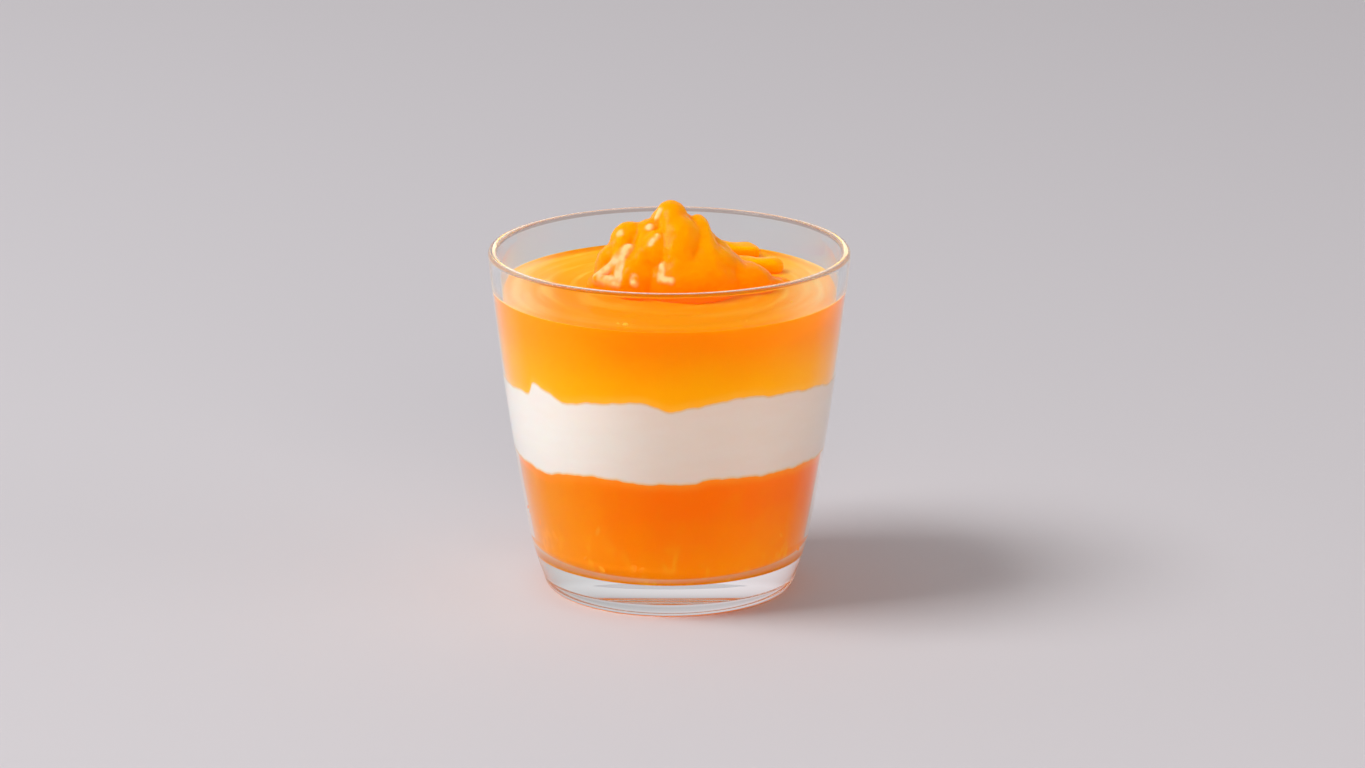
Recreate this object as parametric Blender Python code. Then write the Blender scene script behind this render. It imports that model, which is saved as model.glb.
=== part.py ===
"""Layered orange jelly dessert in a clear glass tumbler.

From the bottom up: the tumbler with its thick clear base, a layer of orange
jelly, a layer of cream, a second layer of orange jelly with a softly swirled
surface, and on top a heap of broken jelly with two loose strips beside it.

Metres, +Z up.  The origin is the centre of the foot, on the table.  Angles
around the glass run from the front, which is -Y, towards +X.
"""

import math

import bmesh
import bpy
from mathutils import Matrix, Vector

MM = 0.001
SEGMENTS = 72
GAP = 0.3 * MM

# Tumbler: a foot, a heel that curves out, a wall that flares less and less.
GLASS_HEIGHT = 76.8 * MM
RIM_RADIUS = 40.0 * MM
RIM_WALL = 2.0 * MM
HEEL_WALL = 2.4 * MM
FOOT_RADIUS = 26.2 * MM
FOOT_EDGE_HEIGHT = 3.0 * MM
HEEL_RADIUS = 28.4 * MM
WALL_START_HEIGHT = 12.0 * MM
WALL_START_RADIUS = 31.2 * MM
INNER_FLOOR = 8.4 * MM
INNER_CORNER = 4.0 * MM
RIM_ROUND = RIM_WALL / 2
WALL_TOP_HEIGHT = GLASS_HEIGHT - RIM_ROUND

FOOT_BEND = (28.0 * MM, 0.2 * MM)
FOOT_CURVE = ((FOOT_RADIUS, 0.0), FOOT_BEND, (HEEL_RADIUS, FOOT_EDGE_HEIGHT))
HEEL_BEND = (29.9 * MM, 6.9 * MM)
HEEL_CURVE = ((HEEL_RADIUS, FOOT_EDGE_HEIGHT), HEEL_BEND, (WALL_START_RADIUS, WALL_START_HEIGHT))
WALL_BEND = (37.1 * MM, 44.5 * MM)
WALL_CURVE = ((WALL_START_RADIUS, WALL_START_HEIGHT), WALL_BEND, (RIM_RADIUS, WALL_TOP_HEIGHT))

FOOT_STEPS = 3
HEEL_STEPS = 3
WALL_STEPS = 8
RIM_STEPS = 4
CORNER_STEPS = 4

# Layers: the mean height of each boundary, and how it wanders where it meets
# the glass, as (degrees around, millimetres above the mean).
CREAM_BOTTOM = 32.6 * MM
CREAM_BOTTOM_EDGE = (
    (-130, -0.4), (-100, 0.3), (-73, -0.6), (-52, -1.4), (-40, 0.0), (-27, 0.5), (-10, -0.2),
    (6, -0.2), (18, 0.7), (38, 0.1), (56, 0.0), (75, -0.3), (110, 0.5), (150, -0.3), (180, 0.2),
)
CREAM_TOP = 50.8 * MM
CREAM_TOP_EDGE = (
    (-150, -0.6), (-120, 0.5), (-95, -0.4), (-74, -1.5), (-58, -1.4), (-54, 1.8), (-46, 0.2),
    (-39, -1.2), (-24, 0.1), (-9, 0.9), (0, -1.2), (9, -0.1), (25, 1.3), (43, 0.5), (61, -0.3),
    (75, -1.6), (100, -0.5), (130, 0.8), (155, -0.4), (180, 0.3),
)
EDGE_FADE_START = 0.55
LAYER_RINGS = 6
LAYER_WALL_STEPS = 3

# Surface of the upper jelly: level with a slight lean, and shallow swirls
# that die out at the glass and under what lies on top.
SURFACE = 68.2 * MM
SURFACE_LEAN = 0.0135
SWIRL_DEPTH = 0.35 * MM
SWIRL_PITCH = 9.0 * MM
SWIRL_RINGS = 15
SWIRL_EDGE = 36.6 * MM
MOUND_SEAT = ((4.0, 0.0), (25.0, 17.0))
STRIP_SEAT = ((15.0, 20.5), (14.0, 12.5))

# Heap of broken jelly: soft lumps as (centre, half sizes), all in millimetres.
MOUND_LUMPS = (
    ((0.0, 1.0, 69.5), (15.0, 12.0, 10.0)),       # core
    ((0.3, 1.0, 82.3), (3.9, 4.3, 5.2)),          # peak
    ((2.4, -2.4, 76.6), (5.2, 6.6, 8.2)),         # tongue below the peak
    ((6.2, 2.2, 77.9), (3.3, 4.2, 6.0)),          # square shoulder, right
    ((-8.6, 1.2, 77.4), (4.6, 4.6, 5.1)),         # left lobe
    ((-4.2, 0.6, 78.5), (4.2, 4.5, 4.9)),         # saddle between them
    ((-12.0, -1.2, 72.0), (4.4, 6.4, 6.4)),       # left flank
    ((-12.6, -3.0, 68.6), (5.8, 6.4, 4.2)),       # left foot
    ((-7.5, -7.6, 71.2), (5.4, 5.2, 5.4)),        # left front
    ((4.0, -6.5, 70.5), (11.4, 8.0, 6.6)),        # right front
    ((11.4, -0.5, 70.0), (8.6, 7.6, 6.4)),        # right flank
    ((16.5, -1.0, 68.4), (9.0, 6.4, 3.6)),        # right foot
    ((20.4, 1.6, 68.4), (6.8, 3.6, 1.5)),         # thin lip, right
)
MOUND_VOXEL = 0.9 * MM
MOUND_SMOOTHING = 4
MOUND_DETAIL = 0.42
LUMP_SEGMENTS = 20

# Loose strips of jelly: centre line as (x, y) in millimetres, width and height in metres.
STRIP_BACK_LINE = ((3.0, 28.2), (8.0, 28.0), (13.0, 27.4), (17.5, 26.4), (20.2, 25.6))
STRIP_BACK_SIZE = (5.0 * MM, 2.5 * MM)
STRIP_FRONT_LINE = ((11.0, 13.6), (15.0, 13.4), (19.0, 13.0), (22.5, 12.4), (25.2, 11.7))
STRIP_FRONT_SIZE = (4.4 * MM, 3.0 * MM)
STRIP_STATIONS = 9
STRIP_SIDES = 12
STRIP_SQUARENESS = 0.55
STRIP_END_BLUNTNESS = 8
LINE_STEP = 0.05


def blend(start, end, position):
    """Ease from 0 at start to 1 at end."""
    part = min(max((position - start) / (end - start), 0.0), 1.0)
    return part * part * (3.0 - 2.0 * part)


def curve_point(curve, part):
    """Point of a three-point curve, part of the way along it."""
    weights = ((1.0 - part) ** 2, 2.0 * part * (1.0 - part), part * part)
    return tuple(sum(w * point[axis] for w, point in zip(weights, curve)) for axis in (0, 1))


def curve_radius(curve, height):
    """Radius of a rising three-point curve at one height."""
    (_, low), (_, middle), (_, high) = curve
    square = low - 2.0 * middle + high
    slope = 2.0 * (middle - low)
    rise = low - height
    part = (-slope + math.sqrt(slope * slope - 4.0 * square * rise)) / (2.0 * square)
    return curve_point(curve, part)[0]


def outer_radius(height):
    """Outside radius of the glass above its foot edge."""
    return curve_radius(WALL_CURVE if height >= WALL_START_HEIGHT else HEEL_CURVE, height)


def bore_radius(height):
    """Inside radius of the glass above its rounded inner corner."""
    part = (height - WALL_START_HEIGHT) / (WALL_TOP_HEIGHT - WALL_START_HEIGHT)
    return outer_radius(height) - HEEL_WALL - (RIM_WALL - HEEL_WALL) * part


CORNER_TOP = INNER_FLOOR + INNER_CORNER
FLOOR_RADIUS = bore_radius(CORNER_TOP) - INNER_CORNER


def corner_outline(clearance):
    """Rounded inner corner from the floor to the wall, drawn in by a clearance."""
    size = INNER_CORNER - clearance
    turns = [math.pi / 2 * step / CORNER_STEPS for step in range(CORNER_STEPS + 1)]
    return [(FLOOR_RADIUS + size * math.sin(turn), CORNER_TOP - size * math.cos(turn)) for turn in turns]


def glass_outline():
    """Outline of half the glass, from the middle of the foot round to the middle of the floor."""
    outline = [(0.0, 0.0)]
    for curve, steps in ((FOOT_CURVE, FOOT_STEPS), (HEEL_CURVE, HEEL_STEPS), (WALL_CURVE, WALL_STEPS)):
        outline += [curve_point(curve, step / steps) for step in range(steps)]
    middle = RIM_RADIUS - RIM_ROUND
    for step in range(RIM_STEPS + 1):
        turn = math.pi * step / RIM_STEPS
        outline.append((middle + RIM_ROUND * math.cos(turn), WALL_TOP_HEIGHT + RIM_ROUND * math.sin(turn)))
    for step in range(1, WALL_STEPS):
        height = WALL_TOP_HEIGHT + (CORNER_TOP - WALL_TOP_HEIGHT) * step / WALL_STEPS
        outline.append((bore_radius(height), height))
    return outline + corner_outline(0.0)[::-1] + [(0.0, INNER_FLOOR)]


def edge_rise(edge, angle):
    """Height of a wandering edge above its mean at an angle in degrees."""
    turn = (angle + 180.0) % 360.0 - 180.0
    points = [(edge[-1][0] - 360.0, edge[-1][1]), *edge, (edge[0][0] + 360.0, edge[0][1])]
    for (first, low), (second, high) in zip(points, points[1:]):
        if first <= turn <= second:
            return (low + (high - low) * blend(first, second, turn)) * MM
    return 0.0


def boundary(mean, edge):
    """Height of a boundary between layers, level in the middle and wandering at the glass."""
    def height(reach, angle):
        return mean + edge_rise(edge, angle) * blend(EDGE_FADE_START, 1.0, reach)
    return height


def seat_clearance(seat, x, y):
    """0 where a piece lies on the surface, 1 well away from it."""
    (middle_x, middle_y), (half_x, half_y) = seat
    away = math.hypot((x / MM - middle_x) / half_x, (y / MM - middle_y) / half_y)
    return blend(1.0, 1.3, away)


def surface_height(x, y):
    """Height of the upper jelly's surface."""
    radius = math.hypot(x, y)
    spiral = radius / SWIRL_PITCH + math.atan2(y, x) / (2.0 * math.pi)
    swirl = SWIRL_DEPTH * math.cos(2.0 * math.pi * spiral)
    swirl *= seat_clearance(MOUND_SEAT, x, y) * seat_clearance(STRIP_SEAT, x, y)
    swirl *= 1.0 - blend(SWIRL_EDGE - SWIRL_PITCH / 3, SWIRL_EDGE, radius)
    return SURFACE + SURFACE_LEAN * y + swirl


def make_material(name, colour, roughness, transmission=0.0):
    """A Principled material."""
    material = bpy.data.materials.new(name)
    material.use_nodes = True
    shader = material.node_tree.nodes["Principled BSDF"]
    shader.inputs["Base Color"].default_value = (*colour, 1.0)
    shader.inputs["Roughness"].default_value = roughness
    shader.inputs["Transmission Weight"].default_value = transmission
    material.diffuse_color = (*colour, 1.0)
    return material


def add_object(name, mesh, material):
    """Link a mesh as a named object, smooth except at real edges."""
    mesh.materials.append(material)
    mesh.shade_smooth()
    mesh.set_sharp_from_angle(angle=math.radians(40.0))
    obj = bpy.data.objects.new(name, mesh)
    bpy.context.scene.collection.objects.link(obj)
    return obj


def mesh_from(name, shape):
    """Turn a bmesh into a mesh, with triangles only and faces outwards."""
    bmesh.ops.triangulate(shape, faces=shape.faces)
    bmesh.ops.recalc_face_normals(shape, faces=shape.faces)
    mesh = bpy.data.meshes.new(name)
    shape.to_mesh(mesh)
    shape.free()
    return mesh


def turned(name, outline):
    """Turn an outline that starts and ends on the axis into a closed mesh."""
    shape = bmesh.new()
    points = [shape.verts.new((radius, 0.0, height)) for radius, height in outline]
    edges = [shape.edges.new(pair) for pair in zip(points, points[1:])]
    bmesh.ops.spin(
        shape, geom=points + edges, cent=(0.0, 0.0, 0.0), axis=(0.0, 0.0, 1.0),
        angle=2.0 * math.pi, steps=SEGMENTS, use_merge=True,
    )
    bmesh.ops.remove_doubles(shape, verts=shape.verts, dist=1e-6)
    return mesh_from(name, shape)


def close_ring(shape, lower, upper):
    """Join two rings of corners with faces."""
    count = len(lower)
    for index in range(count):
        following = (index + 1) % count
        shape.faces.new((lower[index], lower[following], upper[following], upper[index]))


def close_middle(shape, ring, middle):
    """Join a ring of corners to one corner in its middle."""
    for index in range(len(ring)):
        shape.faces.new((ring[index], ring[(index + 1) % len(ring)], middle))


def layer(name, bottom_rings, edge_bottom, edge_top, top_height, top_rings):
    """A closed layer of filling that follows the glass.

    bottom_rings are functions from an angle to a corner, inner ring first;
    edge_bottom and edge_top give the heights at the glass for an angle; and
    top_height(reach, angle, radius) gives the top surface, where the reach
    runs from 0 in the middle to 1 at the glass.
    """
    shape = bmesh.new()
    angles = [360.0 * index / SEGMENTS for index in range(SEGMENTS)]

    def corner(radius, angle, height):
        turn = math.radians(angle)
        return Vector((radius * math.sin(turn), -radius * math.cos(turn), height))

    rings = [[shape.verts.new(ring(corner, angle)) for angle in angles] for ring in bottom_rings]
    for step in range(1, LAYER_WALL_STEPS + 1):
        ring = []
        for angle in angles:
            low, high = edge_bottom(angle), edge_top(angle)
            height = low + (high - low) * step / LAYER_WALL_STEPS
            ring.append(shape.verts.new(corner(bore_radius(height) - GAP, angle, height)))
        rings.append(ring)
    for step in range(top_rings - 1, 0, -1):
        reach = step / top_rings
        ring = []
        for angle in angles:
            radius = (bore_radius(edge_top(angle)) - GAP) * reach
            ring.append(shape.verts.new(corner(radius, angle, top_height(reach, angle, radius))))
        rings.append(ring)
    for lower, upper in zip(rings, rings[1:]):
        close_ring(shape, lower, upper)
    foot = shape.verts.new((0.0, 0.0, sum(vert.co.z for vert in rings[0]) / SEGMENTS))
    crown = shape.verts.new((0.0, 0.0, top_height(0.0, 0.0, 0.0)))
    close_middle(shape, rings[0], foot)
    close_middle(shape, rings[-1], crown)
    return mesh_from(name, shape)


def underside(height_at):
    """Rings of a layer's underside, from the middle to the glass."""
    def ring_at(reach):
        def ring(corner, angle):
            edge = height_at(1.0, angle)
            return corner((bore_radius(edge) - GAP) * reach, angle, height_at(reach, angle))
        return ring
    return [ring_at(step / LAYER_RINGS) for step in range(1, LAYER_RINGS + 1)]


def build_glass():
    """The tumbler, one turned body."""
    glass = make_material("clear_glass", (0.95, 0.97, 0.98), 0.02, 1.0)
    return add_object("glass", turned("glass", glass_outline()), glass)


def build_lower_jelly(material):
    """Jelly from the inner floor up to the cream."""
    cream = boundary(CREAM_BOTTOM, CREAM_BOTTOM_EDGE)

    def corner_ring(radius, height):
        return lambda corner, angle: corner(radius, angle, height)

    def top(reach, angle, _radius):
        return cream(reach, angle) - GAP / 2

    rings = [corner_ring(radius, height) for radius, height in corner_outline(GAP)]
    mesh = layer(
        "jelly_lower", rings, lambda angle: CORNER_TOP, lambda angle: top(1.0, angle, 0.0), top, LAYER_RINGS,
    )
    return add_object("jelly_lower", mesh, material)


def build_cream():
    """Cream between the two jellies."""
    low = boundary(CREAM_BOTTOM + GAP / 2, CREAM_BOTTOM_EDGE)
    high = boundary(CREAM_TOP - GAP / 2, CREAM_TOP_EDGE)
    mesh = layer(
        "cream", underside(low), lambda angle: low(1.0, angle), lambda angle: high(1.0, angle),
        lambda reach, angle, _radius: high(reach, angle), LAYER_RINGS,
    )
    return add_object("cream", mesh, make_material("whipped_cream", (0.86, 0.80, 0.74), 0.5))


def build_upper_jelly(material):
    """Jelly from the cream up to its swirled surface."""
    low = boundary(CREAM_TOP + GAP / 2, CREAM_TOP_EDGE)

    def top(_reach, angle, radius):
        turn = math.radians(angle)
        return surface_height(radius * math.sin(turn), -radius * math.cos(turn))

    def edge(angle):
        return top(1.0, angle, bore_radius(SURFACE) - GAP)

    mesh = layer("jelly_upper", underside(low), lambda angle: low(1.0, angle), edge, top, SWIRL_RINGS)
    return add_object("jelly_upper", mesh, material)


def add_modifier(obj, kind, **settings):
    """Add a modifier with its settings."""
    modifier = obj.modifiers.new(kind.lower(), kind)
    for name, value in settings.items():
        setattr(modifier, name, value)


def seat_cutter():
    """A block below the surface that gives the heap its flat underside."""
    shape = bmesh.new()
    bmesh.ops.create_cube(shape, size=2.0 * RIM_RADIUS)
    lean = Matrix.Rotation(math.atan(SURFACE_LEAN), 4, "X")
    place = Matrix.Translation((0.0, 0.0, SURFACE + GAP)) @ lean @ Matrix.Translation((0.0, 0.0, -RIM_RADIUS))
    bmesh.ops.transform(shape, matrix=place, verts=shape.verts)
    cutter = bpy.data.objects.new("seat_cutter", mesh_from("seat_cutter", shape))
    bpy.context.scene.collection.objects.link(cutter)
    cutter.hide_render = True
    cutter.display_type = "WIRE"
    return cutter


def build_mound(material):
    """The heap: lumps melted into one body and cut flat underneath."""
    shape = bmesh.new()
    for centre, half_sizes in MOUND_LUMPS:
        place = Matrix.Translation(Vector(centre) * MM) @ Matrix.Diagonal((*(Vector(half_sizes) * MM), 1.0))
        bmesh.ops.create_uvsphere(
            shape, u_segments=LUMP_SEGMENTS, v_segments=LUMP_SEGMENTS // 2, radius=1.0, matrix=place,
        )
    mound = add_object("jelly_mound", mesh_from("jelly_mound", shape), material)
    add_modifier(mound, "REMESH", mode="VOXEL", voxel_size=MOUND_VOXEL, use_smooth_shade=True)
    add_modifier(mound, "SMOOTH", factor=0.5, iterations=MOUND_SMOOTHING)
    add_modifier(mound, "DECIMATE", ratio=MOUND_DETAIL)
    add_modifier(mound, "BOOLEAN", operation="DIFFERENCE", object=seat_cutter())
    return mound


def line_point(line, part):
    """Point part of the way along a centre line given in millimetres."""
    position = part * (len(line) - 1)
    index = min(int(position), len(line) - 2)
    start, end = Vector(line[index]), Vector(line[index + 1])
    return start.lerp(end, position - index) * MM


def line_direction(line, part):
    """Direction of a centre line part of the way along it."""
    ahead = line_point(line, min(part + LINE_STEP, 1.0))
    behind = line_point(line, max(part - LINE_STEP, 0.0))
    return (ahead - behind).normalized()


def square_wave(value):
    """Push a sine or cosine out towards a rounded square."""
    return math.copysign(abs(value) ** STRIP_SQUARENESS, value)


def build_strip(name, line, size, material):
    """A loose strip: rounded sections along its centre line, drawn in at both ends."""
    width, height = size
    shape = bmesh.new()
    rings = []
    for station in range(STRIP_STATIONS):
        part = 0.5 - 0.5 * math.cos(math.pi * (station + 0.5) / STRIP_STATIONS)
        middle = line_point(line, part)
        along = line_direction(line, part)
        end_round = math.sqrt(1.0 - abs(2.0 * part - 1.0) ** STRIP_END_BLUNTNESS)
        ring = []
        for side in range(STRIP_SIDES):
            turn = 2.0 * math.pi * (side + 0.5) / STRIP_SIDES
            across = square_wave(math.cos(turn)) * width / 2 * end_round
            rise = square_wave(math.sin(turn)) * height / 2 * end_round
            x = middle.x - along.y * across
            y = middle.y + along.x * across
            z = SURFACE + SURFACE_LEAN * y + GAP + height / 2 + rise
            ring.append(shape.verts.new((x, y, z)))
        rings.append(ring)
    for lower, upper in zip(rings, rings[1:]):
        close_ring(shape, lower, upper)
    for ring in (rings[0], rings[-1]):
        middle = sum((vert.co for vert in ring), Vector()) / STRIP_SIDES
        close_middle(shape, ring, shape.verts.new(middle))
    return add_object(name, mesh_from(name, shape), material)


def main():
    """Clear the scene and build every part."""
    for obj in list(bpy.data.objects):
        bpy.data.objects.remove(obj)
    upper_jelly = make_material("orange_jelly", (0.96, 0.24, 0.01), 0.08, 0.6)
    lower_jelly = make_material("deep_orange_jelly", (0.86, 0.14, 0.005), 0.08, 0.6)
    build_glass()
    build_lower_jelly(lower_jelly)
    build_cream()
    build_upper_jelly(upper_jelly)
    build_mound(upper_jelly)
    build_strip("jelly_strip_back", STRIP_BACK_LINE, STRIP_BACK_SIZE, upper_jelly)
    build_strip("jelly_strip_front", STRIP_FRONT_LINE, STRIP_FRONT_SIZE, upper_jelly)


main()
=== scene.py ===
"""Looks of a layered orange jelly dessert in a clear glass tumbler.

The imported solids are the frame: every filling and the glass are replaced here
by finer meshes of the same form, dressed as soda-lime glass, set jelly,
whipped cream and wet broken jelly.  Metres, +Z up; -Y is the front.
"""

from __future__ import annotations

import logging
import math
from dataclasses import dataclass, field
from enum import Enum, IntEnum
from typing import Callable, Iterable, NamedTuple, Sequence

import bmesh
import bpy
import numpy as np
from mathutils import Matrix, Vector, noise
from mathutils.bvhtree import BVHTree

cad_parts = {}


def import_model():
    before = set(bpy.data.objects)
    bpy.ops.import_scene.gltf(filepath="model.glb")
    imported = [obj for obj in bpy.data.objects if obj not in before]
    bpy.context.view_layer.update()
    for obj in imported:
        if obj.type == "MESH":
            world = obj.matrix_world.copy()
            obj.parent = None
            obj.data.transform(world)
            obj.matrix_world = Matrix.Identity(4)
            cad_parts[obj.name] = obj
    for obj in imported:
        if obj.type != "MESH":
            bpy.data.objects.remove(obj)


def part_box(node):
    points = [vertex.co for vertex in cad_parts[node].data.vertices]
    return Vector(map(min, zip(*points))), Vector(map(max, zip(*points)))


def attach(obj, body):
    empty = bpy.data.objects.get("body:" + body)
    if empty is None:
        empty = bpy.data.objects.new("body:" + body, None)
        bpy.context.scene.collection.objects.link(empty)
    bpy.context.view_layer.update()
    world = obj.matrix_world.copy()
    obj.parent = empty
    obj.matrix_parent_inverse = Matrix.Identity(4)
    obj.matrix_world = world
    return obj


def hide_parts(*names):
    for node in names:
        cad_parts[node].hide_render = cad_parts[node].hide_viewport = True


LOG = logging.getLogger("jelly")

MM = 0.001
BODY = "root"
SEAM = "seam_distance"
FOLD = "fold"
TORN = "torn"
SMOOTH_ANGLE = math.radians(38.0)
SKIN = 0.02 * MM
TINY = 1e-6
JELLY_IOR = 1.36
NOISE_SEED = 1_795_411_791
BOUNCES = {"max_bounces": 24, "glossy_bounces": 16, "transmission_bounces": 20}
SMOOTH: dict[str, object] = {"interpolation_type": "SMOOTHSTEP"}
EVEN: dict[str, object] = {"interpolation_type": "LINEAR"}
TIMES: dict[str, object] = {"operation": "MULTIPLY"}

Point = tuple[float, float]
Curve = tuple[Point, Point, Point]
Place = tuple[float, float, float]
Boundary = Callable[[float, np.ndarray], np.ndarray]


class JellySide(IntEnum):
    """Material slots of a filling: what lies against the glass, and what is open to the air."""

    AGAINST_GLASS = 0
    OPEN = 1


class Key(Enum):
    """Where a studio light stands, as degrees round from the front and degrees up."""

    SOFTBOX_LEFT = (-79.0, 50.0)
    STRIP_BEHIND = (177.0, 15.4)
    FILL_FRONT = (10.0, 14.0)
    FILL_RIGHT = (75.0, 14.0)


# ---------------------------------------------------------------- colours and nodes


def linear(code: str) -> tuple[float, float, float, float]:
    """Turn an sRGB hex colour into linear light.

    Args:
        code: The colour as "#rrggbb".

    Returns:
        Red, green, blue and an alpha of one.
    """
    parts = [int(code[start:start + 2], 16) / 255.0 for start in (1, 3, 5)]
    light = (part / 12.92 if part <= 0.04045 else ((part + 0.055) / 1.055) ** 2.4 for part in parts)
    return (*light, 1.0)


def add_node(
    tree: bpy.types.NodeTree,
    kind: str,
    settings: dict[str, object] | None = None,
    inputs: dict[str | int, object] | None = None,
) -> bpy.types.Node:
    """Add a node with its settings, values and links.

    Args:
        tree: The node tree to add to.
        kind: The node's type name.
        settings: Attributes of the node itself.
        inputs: Values for its sockets by name or number; an output socket is linked.

    Returns:
        The new node.
    """
    node = tree.nodes.new(kind)
    for name, value in (settings or {}).items():
        setattr(node, name, value)
    for name, value in (inputs or {}).items():
        socket = node.inputs[name]
        if isinstance(value, bpy.types.NodeSocket):
            tree.links.new(value, socket)
        else:
            socket.default_value = value
    return node


def new_material(name: str) -> tuple[bpy.types.Material, bpy.types.NodeTree]:
    """Make an empty node material, and give it with its tree.

    Args:
        name: The material's name.

    Returns:
        The material and its tree.
    """
    material = bpy.data.materials.new(name)
    material.use_nodes = True
    material.node_tree.nodes.clear()
    return material, material.node_tree


def surfaced(
    material: bpy.types.Material, shader: bpy.types.Node, passed: object | None = None,
) -> bpy.types.Material:
    """Give a material its surface.

    Args:
        material: The material.
        shader: The shader that the eye sees.
        passed: The colour of the light that lamps send through it, if any.

    Returns:
        The material.
    """
    tree = material.node_tree
    if passed is not None:
        clear = add_node(tree, "ShaderNodeBsdfTransparent", inputs={"Color": passed})
        path = add_node(tree, "ShaderNodeLightPath")
        shader = add_node(tree, "ShaderNodeMixShader", inputs={
            0: path.outputs["Is Shadow Ray"], 1: shader.outputs[0], 2: clear.outputs[0],
        })
    add_node(tree, "ShaderNodeOutputMaterial", inputs={"Surface": shader.outputs[0]})
    return material


class Coat(NamedTuple):
    """A colour laid on where a measure of the surface goes from one value to another, up to a share."""

    measure: bpy.types.NodeSocket
    start: float
    full: float
    colour: str
    share: float = 1.0
    kept: bpy.types.NodeSocket | None = None
    settings: dict[str, object] = SMOOTH


def painted(tree: bpy.types.NodeTree, ground: object, *coats: Coat) -> bpy.types.NodeSocket:
    """Lay coats of colour over a ground.

    Args:
        tree: The node tree to add to.
        ground: The colour, or the socket, that lies undermost.
        coats: The coats in order; what is kept of one thins it by a second measure.

    Returns:
        The colour socket.
    """
    for coat in coats:
        share = add_node(tree, "ShaderNodeMapRange", coat.settings, {
            "Value": coat.measure, "From Min": coat.start, "From Max": coat.full, "To Max": coat.share,
        }).outputs[0]
        if coat.kept is not None:
            share = add_node(tree, "ShaderNodeMath", TIMES, {0: share, 1: coat.kept}).outputs[0]
        ground = add_node(tree, "ShaderNodeMix", {"data_type": "RGBA"}, {
            0: share, 6: ground, 7: linear(coat.colour),
        }).outputs[2]
    return ground


# ---------------------------------------------------------------- finishes


@dataclass(frozen=True)
class PressedGlass:
    """Soda-lime glass, pressed and fire polished: clear, colourless, with crisp gloss at its edges.

    Seen square on it mirrors little, as if through a polarising filter. On the rim
    it is given a darker tint: painted shade.
    """

    name: str = "pressed_glass"
    tint: str = "#fbfdfc"
    ior: float = 1.50
    mirror: str = "#6c6c6c"
    edge_start: float = 0.5
    edge_full: float = 0.9
    passed: str = "#f4f6f5"

    def build(self) -> bpy.types.Material:
        """Build the material; lamps reach through it to what the glass holds."""
        material, tree = new_material(self.name)
        aside = add_node(tree, "ShaderNodeLayerWeight", inputs={"Blend": 0.5}).outputs["Facing"]
        whole = Coat(aside, self.edge_start, self.edge_full, "#ffffff")
        mirrored = painted(tree, linear(self.mirror), whole)
        return surfaced(material, add_node(tree, "ShaderNodeBsdfPrincipled", inputs={
            "Base Color": linear(self.tint), "Roughness": 0.0, "IOR": self.ior, "Transmission Weight": 1.0,
            "Specular Tint": mirrored,
        }), linear(self.passed))


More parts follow.
